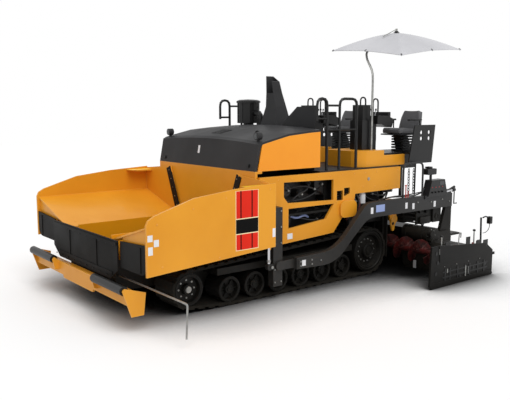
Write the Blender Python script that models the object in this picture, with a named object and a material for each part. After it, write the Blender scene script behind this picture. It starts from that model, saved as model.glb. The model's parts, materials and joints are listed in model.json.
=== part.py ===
"""Tracked asphalt paver with a folding hopper, two operator stations and an extending screed.

Metres. +X points forward to the hopper, +Y to the machine's left, +Z up from the ground.
"""
import math

import bmesh
import bpy
from mathutils import Vector
from mathutils.geometry import tessellate_polygon

# Whole machine
MACHINE_REACH = 3.225    # from the middle to the push rollers and to the walkway's edge
FIT = 0.0003             # gap between pieces that touch
SWING = 0.008            # clearance beside what moves
OVERRUN = 0.03           # how far a cutter runs past the wall it cuts
PLATE = 0.030            # heavy plate
SHEET = 0.020            # lighter panel
PIN_RADIUS = 0.022
BOSS_RADIUS = 0.050
ROUND_STEPS = 16
PIPE_RADIUS = 0.021
PIPE_BEND = 0.10

# Tracks
FRAME_HALF = 0.700       # half width over the two long frame plates
TRACK_GAP = 0.090        # between a frame plate and its belt
BELT_WIDTH = 0.457
BELT_THICK = 0.027
LUG_HEIGHT = 0.018
LUG_COUNT = 54
LUG_FILL_SHARE = 0.62
ROLLER_RADIUS = 0.175
ROLLER_FRONT = 1.519
ROLLER_PITCH = 0.425
ROLLER_COUNT = 6
IDLER_RADIUS = 0.215
IDLER_LIFT = 0.060
IDLER_X = 2.156
DRIVE_RADIUS = 0.330
DRIVE_X = -1.212
WHEEL_WIDTH = 0.330
WHEEL_INSET = 0.016      # outer wheel face inside the belt's outer edge
TRACK_PLATE = 0.050
BOGIE_PLATE = 0.030
TRACK_BEAM_DEPTH = 0.090

# Chassis and conveyors
FRAME_PLATE = 0.040
FRAME_REAR = -1.660
FRAME_FRONT = 2.900
BELLY_Z = 0.300
TUNNEL_FLOOR = 0.600
TUNNEL_ROOF = 1.100
HOPPER_SILL = 0.700
SLAT_PITCH = 0.280
SLAT_SIZE = 0.030
SLAT_RISE = 0.018
SLAT_COUNT = 15
CHAIN_WIDTH = 0.040
GUARD_TOP = 1.000
GUARD_FOOT = FRAME_HALF - 0.150
GUARD_LEAN = 0.040
RIDGE_HALF = 0.050
RIDGE_HEIGHT = 0.095

# Body panels and deck
BODY_CLEARANCE = 0.003   # between a belt's edge and the panels' inner face
BODY_HALF = FRAME_HALF + TRACK_GAP + BELT_WIDTH + BODY_CLEARANCE
PANEL_OUTER = BODY_HALF + FRAME_PLATE
DECK_TOP = 1.700
BULKHEAD_FRONT = 1.100
BULKHEAD_TOP = DECK_TOP + 0.060
PANEL_FRONT = 1.055
PANEL_REAR = -1.853
PANEL_TOP = DECK_TOP - 0.020
PANEL_LOW = 0.721
FLANGE_DEPTH = 0.080

# Hood
HOOD_REAR = -0.100
HOOD_NOSE = 1.000
HOOD_NOSE_TOP = DECK_TOP + 0.450
HOOD_REAR_TOP = DECK_TOP + 0.600
HOOD_CROWN = 0.050
HOOD_OPEN_HINGE_Y = 0.700
ENGINE_LENGTH = 0.950
ENGINE_WIDTH = 0.900
ENGINE_HEIGHT = 0.800

# Hopper wings
WING_OUTER = BODY_HALF + 0.440
WING_FRONT = 3.000
WING_TOP = 1.650
WING_LOW = 0.700
WING_FLOOR_INNER_Y = FRAME_HALF - 0.080
WING_FLOOR_INNER_Z = 0.960
WING_FLOOR_OUTER_Z = 1.280
WING_HINGE_Y = FRAME_HALF + 0.100
WING_HINGE_Z = 0.800
WING_REAR_TOP_Y = 0.876
WING_REAR_TOP = 1.707
FLAP_GAP = 0.020
FLAP_TOP = 1.060
SEAL_WIDTH = 0.060
LEDGE_LENGTH = 0.390
LEDGE_WIDTH = 0.230
LEDGE_DROP = 0.040

# Front apron and push bar
APRON_HALF = 1.000
APRON_TOP = 1.020
APRON_LOW = 0.520
FLAP_INNER = APRON_HALF + FLAP_GAP
PUSH_HALF = 1.470
PUSH_TOP = 0.470
PUSH_LOW = 0.330
PUSH_FOOT = 0.205
PUSH_REAR = 2.960
PUSH_FACE = 3.110
PUSH_ROLLER_RADIUS = 0.056
PUSH_ROLLER_INNER = 0.650

# Towing gear
TOW_X = 0.820
TOW_Z = 0.470
GUIDE_WIDTH = 0.160
GUIDE_LOW = 0.180
GUIDE_TOP = 1.270
GUIDE_OUTER = PANEL_OUTER + 0.110
TOW_ARM_OUTER = GUIDE_OUTER + 0.100
TOW_ARM_WIDTH = 0.080
CYLINDER_RADIUS = 0.042
CYLINDER_X = 0.985

# Augers
AUGER_X = -1.840
AUGER_Z = 0.370
AUGER_RADIUS = 0.190
AUGER_SHAFT = 0.045
AUGER_INNER = 0.120
AUGER_OUTER = 2.000
AUGER_PITCH = 0.300
AUGER_BLADE = 0.012

# Screed
SCREED_HALF = TOW_ARM_OUTER + 0.020
SCREED_FRONT = -2.480
SCREED_REAR = -2.960
SCREED_TOP = 0.560
SCREED_SOLE = 0.050
WALKWAY_TOP = 0.480
EXTENSION_FRONT = -2.060
EXTENSION_REAR = -2.440
EXTENSION_TOP = 0.480
GATE_OUTER = 2.450
GATE_FRONT = -1.160
GATE_REAR = -2.760
GATE_TOP = 0.630
GATE_PLATE = 0.020
GATE_RIB = 0.010

# Operator's platform
STATION_OUTER = BODY_HALF - 0.050
STATION_INNER = STATION_OUTER - 0.750
STATION_FRONT = -0.970
STATION_STEP = -1.550
STATION_REAR = -2.060
STATION_TOP = DECK_TOP + 0.250
STATION_STEP_TOP = DECK_TOP + 0.170
RIGHT_SLIDE = 0.475      # how far the right station stands in from its outer place
CONSOLE_Y = STATION_OUTER - 0.350
SHIELD_Y = BODY_HALF + 0.100
SEAT_Y = STATION_OUTER - 0.260
SEAT_X = -2.300
SEAT_Z = DECK_TOP + 0.470
SEAT_WIDTH = 0.480
RAIL_Y = BODY_HALF - 0.050
RAIL_TOP = DECK_TOP + 1.045
UMBRELLA_X = -2.122
UMBRELLA_Y = CONSOLE_Y + 0.050
UMBRELLA_SIDE = 1.472
UMBRELLA_Z = DECK_TOP + 1.845
UMBRELLA_RISE = 0.277
UMBRELLA_TILT = math.radians(9)
FINIAL_RISE = 0.074
POLE_X = -1.446
POLE_Y = CONSOLE_Y + 0.170
POLE_BEND_Z = DECK_TOP + 1.470
COWL_REAR = -0.560
COWL_LOW_TOP = HOOD_REAR_TOP
COWL_TOP = DECK_TOP + 0.930

SIDES = ((1, "left"), (-1, "right"))

MATERIALS = {
    # name: (sRGB hex, roughness, metallic)
    "body_yellow": ("E8A83A", 0.42, 0.0),
    "hopper_yellow": ("F0AC24", 0.45, 0.0),
    "hood_yellow": ("F39A0B", 0.40, 0.0),
    "hood_grey": ("3A3A3A", 0.50, 0.0),
    "arm_grey": ("363636", 0.55, 0.0),
    "chassis_black": ("161616", 0.60, 0.0),
    "track_rubber": ("121212", 0.85, 0.0),
    "wheel_black": ("1C1C1C", 0.60, 0.0),
    "auger_red": ("5A1414", 0.60, 0.2),
    "seat_grey": ("6E6E6E", 0.75, 0.0),
    "rail_black": ("141414", 0.40, 0.0),
    "canopy_cloth": ("DADAE0", 0.80, 0.0),
    "steel": ("8C8C88", 0.35, 1.0),
}


def clear_scene():
    for thing in list(bpy.data.objects):
        bpy.data.objects.remove(thing, do_unlink=True)


def linear(channel):
    return channel / 12.92 if channel <= 0.04045 else ((channel + 0.055) / 1.055) ** 2.4


def material(name):
    found = bpy.data.materials.get(name)
    if found:
        return found
    colour, roughness, metallic = MATERIALS[name]
    made = bpy.data.materials.new(name)
    made.use_nodes = True
    shader = made.node_tree.nodes["Principled BSDF"]
    rgb = [linear(int(colour[i:i + 2], 16) / 255) for i in (0, 2, 4)]
    shader.inputs["Base Color"].default_value = (*rgb, 1)
    shader.inputs["Roughness"].default_value = roughness
    shader.inputs["Metallic"].default_value = metallic
    return made


def solid(verts, faces):
    """A loose closed solid, to be fused into a piece."""
    mesh = bpy.data.meshes.new("solid")
    mesh.from_pydata([tuple(v) for v in verts], [], faces)
    work = bmesh.new()
    work.from_mesh(mesh)
    bmesh.ops.recalc_face_normals(work, faces=work.faces)
    work.to_mesh(mesh)
    work.free()
    thing = bpy.data.objects.new("solid", mesh)
    bpy.context.scene.collection.objects.link(thing)
    return thing


def place_at(axis, u, v, w):
    """A point from its two places across an axis and its place along it."""
    if axis == "x":
        return (w, u, v)
    if axis == "y":
        return (u, w, v)
    return (u, v, w)


def prism(axis, outline, low, high, holes=()):
    """Extrude an outline, with its holes, along an axis between two places."""
    low, high = sorted((low, high))
    loops = [list(outline), *[list(hole) for hole in holes]]
    flat = [point for loop in loops for point in loop]
    verts = [place_at(axis, *point, level) for level in (low, high) for point in flat]
    count = len(flat)
    if holes:
        caps = tessellate_polygon([[Vector((*point, 0)) for point in loop] for loop in loops])
    else:
        caps = [tuple(range(count))]
    faces = [tuple(cap) for cap in caps]
    faces += [tuple(i + count for i in reversed(cap)) for cap in caps]
    start = 0
    for loop in loops:
        size = len(loop)
        for i in range(size):
            a = start + i
            b = start + (i + 1) % size
            faces.append((a, b, b + count, a + count))
        start += size
    return solid(verts, faces)


def box(x0, x1, y0, y1, z0, z1):
    return prism("z", ((x0, y0), (x1, y0), (x1, y1), (x0, y1)), z0, z1)


def loft(rings):
    """A solid through rings of points, each with as many points as the first."""
    size = len(rings[0])
    count = len(rings)
    faces = [tuple(range(size)), tuple(range(size * (count - 1), size * count))]
    for i in range(count - 1):
        for k in range(size):
            n = (k + 1) % size
            faces.append((size * i + k, size * i + n, size * (i + 1) + n, size * (i + 1) + k))
    return solid([point for ring in rings for point in ring], faces)


def spread(shares, u0, u1, v0, v1):
    """Outline points from shares of a rectangle."""
    return [(u0 + (u1 - u0) * a, v0 + (v1 - v0) * b) for a, b in shares]


def arc(centre, radius, start, stop, steps):
    """Points on an arc, angles in degrees."""
    angles = [math.radians(start + (stop - start) * i / steps) for i in range(steps + 1)]
    return [(centre[0] + radius * math.cos(a), centre[1] + radius * math.sin(a)) for a in angles]


def soft_rectangle(u0, u1, v0, v1, radius, steps=3):
    """Outline of a rectangle with rounded corners."""
    points = []
    corners = ((u1, v0, -90), (u1, v1, 0), (u0, v1, 90), (u0, v0, 180))
    for u, v, start in corners:
        centre = (u - radius if u == u1 else u + radius, v - radius if v == v1 else v + radius)
        points += arc(centre, radius, start, start + 90, steps)
    return points


def turned(axis, centre, profile, steps=ROUND_STEPS):
    """Turn a profile of (radius, place along the axis); a ring where it never meets the axis."""
    rings = []
    verts = []
    for radius, along in profile:
        ring = []
        for i in range(steps if radius else 1):
            angle = math.tau * i / steps
            ring.append(len(verts))
            verts.append(place_at(axis, centre[0] + radius * math.cos(angle),
                                  centre[1] + radius * math.sin(angle), along))
        rings.append(ring)
    closed = all(radius for radius, along in profile)
    pairs = list(zip(rings, rings[1:] + rings[:1])) if closed else list(zip(rings, rings[1:]))
    faces = []
    for first, second in pairs:
        for i in range(steps):
            j = (i + 1) % steps
            corners = [first[i % len(first)], first[j % len(first)],
                       second[j % len(second)], second[i % len(second)]]
            face = list(dict.fromkeys(corners))
            if len(face) > 2:
                faces.append(tuple(face))
    return solid(verts, faces)


def drum(axis, centre, radius, low, high, steps=ROUND_STEPS):
    return turned(axis, centre, ((0, low), (radius, low), (radius, high), (0, high)), steps)


def rounded(points, bend, steps=3):
    """Round the inner corners of a path."""
    points = [Vector(p) for p in points]
    path = [points[0]]
    for before, corner, after in zip(points, points[1:], points[2:]):
        back = (before - corner).normalized()
        ahead = (after - corner).normalized()
        reach = min(bend, (before - corner).length / 2, (after - corner).length / 2)
        start = corner + back * reach
        end = corner + ahead * reach
        for i in range(steps + 1):
            t = i / steps
            point = start * (1 - t) ** 2 + corner * 2 * t * (1 - t) + end * t ** 2
            if (point - path[-1]).length > FIT:
                path.append(point)
    path.append(points[-1])
    return path


def tube(points, radius, bend=0, sides=8):
    """A round bar along a path, its corners rounded, with flat ends."""
    path = rounded(points, bend) if bend else [Vector(p) for p in points]
    verts = []
    side = None
    for i, place in enumerate(path):
        before = path[i] - path[i - 1] if i else path[1] - path[0]
        after = path[i + 1] - path[i] if i + 1 < len(path) else before
        along = (before.normalized() + after.normalized()).normalized()
        if side is None:
            side = along.orthogonal().normalized()
        side = (side - along * side.dot(along)).normalized()
        up = along.cross(side)
        for k in range(sides):
            angle = math.tau * (k + 0.5) / sides
            verts.append(place + radius * (side * math.cos(angle) + up * math.sin(angle)))
    faces = [tuple(range(sides)), tuple(range(len(verts) - sides, len(verts)))]
    for i in range(len(path) - 1):
        for k in range(sides):
            n = (k + 1) % sides
            faces.append((i * sides + k, i * sides + n, (i + 1) * sides + n, (i + 1) * sides + k))
    return solid(verts, faces)


def boolean(base, others, operation):
    """Fuse or cut a solid with others, which are used up."""
    group = bpy.data.collections.new("operands")
    for other in others:
        group.objects.link(other)
    modifier = base.modifiers.new(operation, "BOOLEAN")
    modifier.operation = operation
    modifier.solver = "EXACT"
    modifier.operand_type = "COLLECTION"
    modifier.collection = group
    bpy.context.view_layer.update()
    graph = bpy.context.evaluated_depsgraph_get()
    base.data = bpy.data.meshes.new_from_object(base.evaluated_get(graph))
    base.modifiers.clear()
    bpy.data.collections.remove(group)
    for other in others:
        bpy.data.objects.remove(other, do_unlink=True)


def piece(name, finish, solids, cuts=(), pivot=(0, 0, 0), smooth=False):
    """One named piece: its solids fused, its cuts made, its origin on the pivot."""
    base, *others = solids
    if others:
        boolean(base, others, "UNION")
    if cuts:
        boolean(base, list(cuts), "DIFFERENCE")
    work = bmesh.new()
    work.from_mesh(base.data)
    bmesh.ops.translate(work, verts=work.verts, vec=[-value for value in pivot])
    work.to_mesh(base.data)
    work.free()
    base.location = pivot
    base.name = name
    base.data.name = name
    base.data.materials.clear()
    base.data.materials.append(material(finish))
    if smooth:
        base.data.shade_smooth()
        base.data.set_sharp_from_angle(angle=math.radians(35))
    return base


# Tracks

TRACK_CENTRE = FRAME_HALF + TRACK_GAP + BELT_WIDTH / 2
BELT_TOTAL = BELT_THICK + LUG_HEIGHT
BELT_INNER = TRACK_CENTRE - BELT_WIDTH / 2
BELT_OUTER = TRACK_CENTRE + BELT_WIDTH / 2
ROLLER_Z = BELT_TOTAL + ROLLER_RADIUS
IDLER_Z = BELT_TOTAL + IDLER_RADIUS + IDLER_LIFT
DRIVE_Z = BELT_TOTAL + DRIVE_RADIUS
WHEEL_OUTER = BELT_OUTER - WHEEL_INSET
WHEEL_INNER = WHEEL_OUTER - WHEEL_WIDTH
BELT_CIRCLES = (
    # x, z, radius
    (DRIVE_X, DRIVE_Z, DRIVE_RADIUS),
    (IDLER_X, IDLER_Z, IDLER_RADIUS),
    (ROLLER_FRONT, ROLLER_Z, ROLLER_RADIUS),
)


def hull(points):
    """Convex outline, counter-clockwise."""
    points = sorted(set(points))
    chains = []
    for run in (points, points[::-1]):
        chain = []
        for p in run:
            while len(chain) > 1:
                (ax, az), (bx, bz) = chain[-2:]
                if (bx - ax) * (p[1] - az) - (bz - az) * (p[0] - ax) > 0:
                    break
                chain.pop()
            chain.append(p)
        chains.append(chain[:-1])
    return chains[0] + chains[1]


def belt_line(offset, steps):
    """The belt's closed line round its wheels, pushed out by an offset, its flats on the circles."""
    points = []
    turn = 360 / steps
    for x, z, radius in BELT_CIRCLES:
        reach = (radius + offset) / math.cos(math.pi / steps)
        points += arc((x, z), reach, turn / 2, 360 - turn / 2, steps - 1)
    return hull(points)


def along_line(line, share):
    """Point and outward normal at a share of a closed line's length."""
    lengths = [math.dist(a, b) for a, b in zip(line, line[1:] + line[:1])]
    left = share * sum(lengths)
    for a, b, length in zip(line, line[1:] + line[:1], lengths):
        if left <= length:
            break
        left -= length
    t = left / length
    normal = ((b[1] - a[1]) / length, (a[0] - b[0]) / length)
    return (a[0] + (b[0] - a[0]) * t, a[1] + (b[1] - a[1]) * t), normal


def track_belt(side, word):
    base_line = belt_line(BELT_THICK, 48)
    outline = []
    for i in range(LUG_COUNT):
        for lug_share, height in ((0, 0), (0, LUG_HEIGHT),
                                  (LUG_FILL_SHARE, LUG_HEIGHT), (LUG_FILL_SHARE, 0)):
            (x, z), normal = along_line(base_line, (i + lug_share) / LUG_COUNT)
            outline.append((x + normal[0] * height, z + normal[1] * height))
    inner = belt_line(0, 24)
    belt = prism("y", outline, side * BELT_INNER, side * BELT_OUTER, holes=[inner])
    piece("track_belt_" + word, "track_rubber", [belt])


WHEEL_PROFILE_SHARES = (
    # share of the radius, share of the width from the inner face
    (0, 0), (1, 0), (1, 1), (0.80, 1), (0.74, 0.80), (0.34, 0.80), (0.28, 0.97), (0, 0.97),
)


def wheel(side, x, z, radius, steps=ROUND_STEPS):
    """A dished wheel whose open face looks outwards."""
    profile = [((radius - FIT) * r, side * (WHEEL_INNER + (WHEEL_OUTER - WHEEL_INNER) * w))
               for r, w in WHEEL_PROFILE_SHARES]
    return turned("y", (x, z), profile, steps)


ROLLER_PLACES = [ROLLER_FRONT - ROLLER_PITCH * i for i in range(ROLLER_COUNT)]
TRACK_PLATE_INNER = BELT_INNER + FIT + (WHEEL_INNER - BELT_INNER - TRACK_PLATE - BOGIE_PLATE) / 2
TRACK_PLATE_OUTER = TRACK_PLATE_INNER + TRACK_PLATE
BEAM_LOW = ROLLER_Z + ROLLER_RADIUS + PLATE
BEAM_TOP = BEAM_LOW + TRACK_BEAM_DEPTH
MOUNT_FRONT = 1.150
MOUNT_REAR = -0.300
MOUNT_HALF = 0.120
MOUNT_LOW = 0.330
MOUNT_TOP = 0.460


def track_frame(side, word):
    """Long plate and beam between the wheels, with the mounts that reach the chassis."""
    outline = [(IDLER_X + BOSS_RADIUS, IDLER_Z - BOSS_RADIUS),
               (IDLER_X + BOSS_RADIUS, IDLER_Z + BOSS_RADIUS),
               (ROLLER_FRONT, BEAM_TOP), (DRIVE_X, BEAM_TOP),
               (DRIVE_X - BOSS_RADIUS, DRIVE_Z), (ROLLER_PLACES[-1], ROLLER_Z - BOSS_RADIUS),
               (ROLLER_FRONT, ROLLER_Z - BOSS_RADIUS)]
    plate = prism("y", outline, side * TRACK_PLATE_INNER, side * TRACK_PLATE_OUTER)
    beam_front = ROLLER_FRONT + ROLLER_RADIUS
    beam_rear = DRIVE_X + DRIVE_RADIUS + PLATE
    beam = box(beam_rear, beam_front, side * (TRACK_PLATE_INNER + FRAME_PLATE / 2),
               side * (WHEEL_OUTER - PLATE), BEAM_LOW, BEAM_TOP)
    mounts = []
    for x in (MOUNT_FRONT, MOUNT_REAR):
        mounts.append(box(x - MOUNT_HALF, x + MOUNT_HALF, side * (FRAME_HALF + FIT),
                          side * (TRACK_PLATE_INNER + FRAME_PLATE / 2), MOUNT_LOW, MOUNT_TOP))
    for x, z in ((IDLER_X, IDLER_Z), (DRIVE_X, DRIVE_Z)):
        mounts.append(drum("y", (x, z), BOSS_RADIUS, side * (TRACK_PLATE_INNER + PLATE),
                           side * (WHEEL_INNER - FIT)))
    piece("track_frame_" + word, "chassis_black", [plate, beam, *mounts])


HUB_SHARE = 0.8


def roller_set(side, word):
    """The six road rollers of a side on their long rail."""
    rail_in = side * (TRACK_PLATE_OUTER + FIT)
    rail_out = side * (TRACK_PLATE_OUTER + BOGIE_PLATE)
    outline = arc((ROLLER_PLACES[0], ROLLER_Z), BOSS_RADIUS, -90, 90, 4)
    outline += arc((ROLLER_PLACES[-1], ROLLER_Z), BOSS_RADIUS, 90, 270, 4)
    solids = [prism("y", outline, rail_in, rail_out)]
    for x in ROLLER_PLACES:
        solids.append(drum("y", (x, ROLLER_Z), BOSS_RADIUS * HUB_SHARE, rail_in + side * BOGIE_PLATE / 2,
                           side * (WHEEL_INNER + BOGIE_PLATE), 12))
        solids.append(wheel(side, x, ROLLER_Z, ROLLER_RADIUS, 16))
    piece("roller_set_" + word, "wheel_black", solids, smooth=True)


def end_wheels(side, word):
    piece("idler_" + word, "wheel_black",
          [wheel(side, IDLER_X, IDLER_Z, IDLER_RADIUS, 20)], smooth=True)
    piece("drive_wheel_" + word, "wheel_black",
          [wheel(side, DRIVE_X, DRIVE_Z, DRIVE_RADIUS, 24)], smooth=True)


# Chassis, conveyors and engine

ROOF_TOP = TUNNEL_ROOF + PLATE
BULKHEAD_REAR = BULKHEAD_FRONT - FRAME_PLATE
PANEL_INNER = BODY_HALF
DECK_LOW = DECK_TOP - PLATE
WALL_FRONT = -0.300
WALL_REAR = -1.600
WALL_HALF = BODY_HALF - 0.100
CROSS_MEMBER_HALF = 0.110
ACCESS_X = 0.400
ACCESS_HALF = 0.200
SIDE_REAR_DROP = 0.120
SIDE_SLOPE = 0.300
SIDE_NOSE_RISE = 0.040
NOSE_DEPTH = 0.120
KNUCKLE_REAR = 1.350
KNUCKLE_FRONT = 2.700
KNUCKLE_HALF = 0.050
BRACKET_DROP = 0.100


def main_frame():
    """Two long plates, the conveyor floor and roof, cross members and the deck's walls."""
    side_outline = [(FRAME_REAR, TUNNEL_FLOOR - SIDE_REAR_DROP), (FRAME_REAR + SIDE_SLOPE, BELLY_Z),
                    (FRAME_FRONT - SIDE_SLOPE, BELLY_Z), (FRAME_FRONT, BELLY_Z + SIDE_NOSE_RISE),
                    (FRAME_FRONT, HOPPER_SILL), (BULKHEAD_REAR - FIT, HOPPER_SILL),
                    (BULKHEAD_REAR - FIT, ROOF_TOP - SHEET / 2), (FRAME_REAR, ROOF_TOP - SHEET / 2)]
    half = FRAME_PLATE / 2
    solids = []
    for side, word in SIDES:
        solids.append(prism("y", side_outline, side * (FRAME_HALF - FRAME_PLATE), side * FRAME_HALF))
    inner = FRAME_HALF - half
    solids.append(box(FRAME_REAR + half, FRAME_FRONT - half, -inner, inner,
                      TUNNEL_FLOOR - PLATE, TUNNEL_FLOOR))
    solids.append(box(FRAME_REAR + SIDE_SLOPE, FRAME_FRONT - SIDE_SLOPE - half, -inner, inner,
                      BELLY_Z + half / 2, BELLY_Z + half / 2 + SHEET))
    solids.append(box(FRAME_REAR + half, BULKHEAD_REAR - SHEET, -PANEL_INNER + FIT, PANEL_INNER - FIT,
                      TUNNEL_ROOF, ROOF_TOP))
    for x in (WALL_FRONT, WALL_REAR):
        solids.append(box(x - half, x + half, -WALL_HALF, WALL_HALF, TUNNEL_ROOF + half / 2,
                          DECK_LOW - FIT))
    for x in (IDLER_X, DRIVE_X):
        solids.append(box(x - CROSS_MEMBER_HALF, x + CROSS_MEMBER_HALF, -inner, inner,
                          BELLY_Z + half, TUNNEL_FLOOR - half))
    solids.append(box(FRAME_FRONT - NOSE_DEPTH, FRAME_FRONT, -inner, inner, BELLY_Z + SIDE_NOSE_RISE + SHEET,
                      TUNNEL_FLOOR - half))
    for side, word in SIDES:
        for x in (KNUCKLE_REAR, KNUCKLE_FRONT):
            knuckle = drum("x", (side * WING_HINGE_Y, WING_HINGE_Z), BOSS_RADIUS,
                           x - KNUCKLE_HALF, x + KNUCKLE_HALF)
            arm = prism("x", [(side * inner, HOPPER_SILL - BRACKET_DROP),
                              (side * inner, HOPPER_SILL - half / 2),
                              (side * (WING_HINGE_Y - half), WING_HINGE_Z + half / 2),
                              (side * (WING_HINGE_Y + half), WING_HINGE_Z - half / 2)],
                        x - KNUCKLE_HALF + half / 4, x + KNUCKLE_HALF - half / 4)
            solids += [knuckle, arm]
    access = box(ACCESS_X - ACCESS_HALF, ACCESS_X + ACCESS_HALF, -ACCESS_HALF, ACCESS_HALF,
                 BELLY_Z - OVERRUN, BELLY_Z + half + SHEET + OVERRUN)
    piece("main_frame", "chassis_black", solids, [access])


CONVEYOR_LOW = TUNNEL_FLOOR + FIT
CONVEYOR_TOP = CONVEYOR_LOW + SHEET
CONVEYOR_REAR = FRAME_REAR + FRAME_PLATE
CONVEYOR_FRONT = FRAME_FRONT - FRAME_PLATE
CHAIN_EDGE = 0.090       # from a conveyor's edge to its chain


def conveyor():
    """Deck with its chains and slats, and the ridge between the two conveyors."""
    half = FRAME_HALF - FRAME_PLATE - FIT
    sunk = CONVEYOR_TOP - SHEET / 2
    solids = [box(CONVEYOR_REAR, CONVEYOR_FRONT, -half, half, CONVEYOR_LOW, CONVEYOR_TOP)]
    ridge = [(-RIDGE_HALF, sunk), (RIDGE_HALF, sunk), (RIDGE_HALF, CONVEYOR_TOP + SLAT_SIZE),
             (0, CONVEYOR_TOP + RIDGE_HEIGHT), (-RIDGE_HALF, CONVEYOR_TOP + SLAT_SIZE)]
    solids.append(prism("x", ridge, CONVEYOR_REAR + SHEET, CONVEYOR_FRONT - SHEET))
    edge = GUARD_FOOT - 2 * SHEET - SWING
    for i in range(SLAT_COUNT):
        x = CONVEYOR_REAR + SLAT_PITCH * (i + 1)
        solids.append(box(x, x + SLAT_SIZE, -edge, edge, sunk, CONVEYOR_TOP + SLAT_RISE))
    for y in (-edge + CHAIN_WIDTH, -CHAIN_EDGE, CHAIN_EDGE, edge - CHAIN_WIDTH):
        solids.append(box(CONVEYOR_REAR + PLATE, CONVEYOR_FRONT - PLATE, y - CHAIN_WIDTH / 2,
                          y + CHAIN_WIDTH / 2, sunk, CONVEYOR_TOP + SLAT_RISE / 2))
    piece("conveyor", "chassis_black", solids)


def hopper_guard(side, word):
    """Leaning plate beside the conveyor, on its foot."""
    low = CONVEYOR_TOP + FIT
    outline = [(side * GUARD_FOOT, low), (side * (GUARD_FOOT - 2 * SHEET), low),
               (side * (GUARD_FOOT - 2 * SHEET), low + SHEET / 2),
               (side * (GUARD_FOOT - SHEET), low + SHEET),
               (side * (GUARD_FOOT - SHEET - GUARD_LEAN), GUARD_TOP),
               (side * (GUARD_FOOT - GUARD_LEAN), GUARD_TOP)]
    rear = WING_REAR + 3 * SHEET
    piece("hopper_guard_" + word, "hopper_yellow",
          [prism("x", outline, rear, CONVEYOR_FRONT - SHEET / 2)])


def engine_block():
    front = BULKHEAD_REAR - FLANGE_DEPTH - PLATE
    half = ENGINE_WIDTH / 2
    piece("engine_block", "chassis_black",
          [box(front - ENGINE_LENGTH, front, -half, half, ROOF_TOP + FIT, ROOF_TOP + ENGINE_HEIGHT)])


BULKHEAD_OUTLINE_SHARES = ((0, 0.12), (0.20, 0), (0.80, 0), (1, 0.12), (1, 1), (0, 1))


def hopper_bulkhead():
    """Rear wall of the hopper, open at the conveyors' mouth, with a flange under the hood."""
    low = HOPPER_SILL + FIT
    outline = spread(BULKHEAD_OUTLINE_SHARES, -BODY_HALF, BODY_HALF, low, BULKHEAD_TOP)
    wall = prism("x", outline, BULKHEAD_REAR, BULKHEAD_FRONT)
    mouth_half = FRAME_HALF - FRAME_PLATE - SHEET
    mouth = box(BULKHEAD_REAR - OVERRUN, BULKHEAD_FRONT + OVERRUN, -mouth_half, mouth_half,
                low - OVERRUN, TUNNEL_ROOF - SHEET)
    flange = box(BULKHEAD_REAR - FLANGE_DEPTH, BULKHEAD_REAR + SHEET, -BODY_HALF, BODY_HALF,
                 BULKHEAD_TOP - PLATE, BULKHEAD_TOP)
    piece("hopper_bulkhead", "body_yellow", [wall, flange], [mouth])


# Body panels, deck and hood

PANEL_SHARES = (
    # share of the length from the rear, share of the height
    (0, 1), (0, 0.635), (0.359, 0.625), (0.366, 0.52), (0.390, 0.33), (0.448, 0.29), (0.516, 0.058),
    (0.883, 0), (0.897, 0.02), (0.897, 0.575), (0.915, 0.600), (1, 0.600), (1, 1),
)
UPPER_WINDOW_SHARES = ((0.520, 0.885), (0.852, 0.905), (0.852, 0.690), (0.825, 0.595), (0.520, 0.565))
LOWER_WINDOW_SHARES = ((0.513, 0.510), (0.822, 0.515), (0.822, 0.215), (0.570, 0.285))
FRONT_VENT_SHARES = ((0.450, 0.549), (0.495, 0.549), (0.495, 0.700), (0.450, 0.700))
REAR_VENT_SHARES = ((0.399, 0.640), (0.443, 0.600), (0.443, 0.735), (0.399, 0.735))
BULGE_FRONT = -0.460
BULGE_REAR = -0.800
BULGE_LOW = 0.985
BULGE_TOP = 1.235
BULGE_REACH = 0.045
BULGE_BEND = 0.080


def side_panel(side, word):
    """Cut-out side panel with its vents and the bulge over the drive."""
    frame = (PANEL_REAR, PANEL_FRONT, PANEL_LOW, PANEL_TOP)
    holes = [spread(shares, *frame) for shares in (UPPER_WINDOW_SHARES, LOWER_WINDOW_SHARES,
                                                   FRONT_VENT_SHARES, REAR_VENT_SHARES)]
    panel = prism("y", spread(PANEL_SHARES, *frame), side * PANEL_INNER, side * PANEL_OUTER, holes=holes)
    outline = soft_rectangle(BULGE_REAR, BULGE_FRONT, BULGE_LOW, BULGE_TOP, BULGE_BEND)
    bulge = prism("y", outline, side * (PANEL_OUTER - SHEET), side * (PANEL_OUTER + BULGE_REACH))
    piece("side_panel_" + word, "body_yellow", [panel, bulge])


def platform_deck():
    inner = PANEL_INNER - FIT
    piece("platform_deck", "chassis_black",
          [box(PANEL_REAR, HOOD_REAR - FIT, -inner, inner, DECK_LOW, DECK_TOP)])


HOOD_LEAN = 0.030
HOOD_CURVE_SHARES = (
    # share of the length from the nose, share of the rise
    (0, 0), (0.15, 0.25), (0.44, 0.70), (0.79, 0.92), (1, 1),
)
HOOD_STATION_SHARES = (-1, -0.7, -0.35, 0, 0.35, 0.7, 1)
HOOD_EAR_RADIUS = 0.030
HOOD_HINGE_X = HOOD_REAR - 0.040
HOOD_HINGE_Z = HOOD_REAR_TOP
HOOD_LAMP_Y = BODY_HALF - 0.110
HOOD_LAMP_RADIUS = 0.052
HOOD_LAMP_DEPTH = 0.080
HOOD_LAMP_LIFT = 0.080


def hood_line(inset):
    """The hood's outline from its lower front edge over the top to its rear edge."""
    low = BULKHEAD_TOP + FIT
    top = spread(HOOD_CURVE_SHARES, HOOD_NOSE - HOOD_LEAN, HOOD_REAR, HOOD_NOSE_TOP - inset,
                 HOOD_REAR_TOP - inset)
    return [(BULKHEAD_FRONT - inset, low),
            (HOOD_NOSE + HOOD_LEAN - inset, HOOD_NOSE_TOP - HOOD_LEAN - inset), *top]


def hood_crown(y):
    """How far the hood's top rises at a place across it."""
    return HOOD_CROWN * (1 - (y / BODY_HALF) ** 2)


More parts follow.
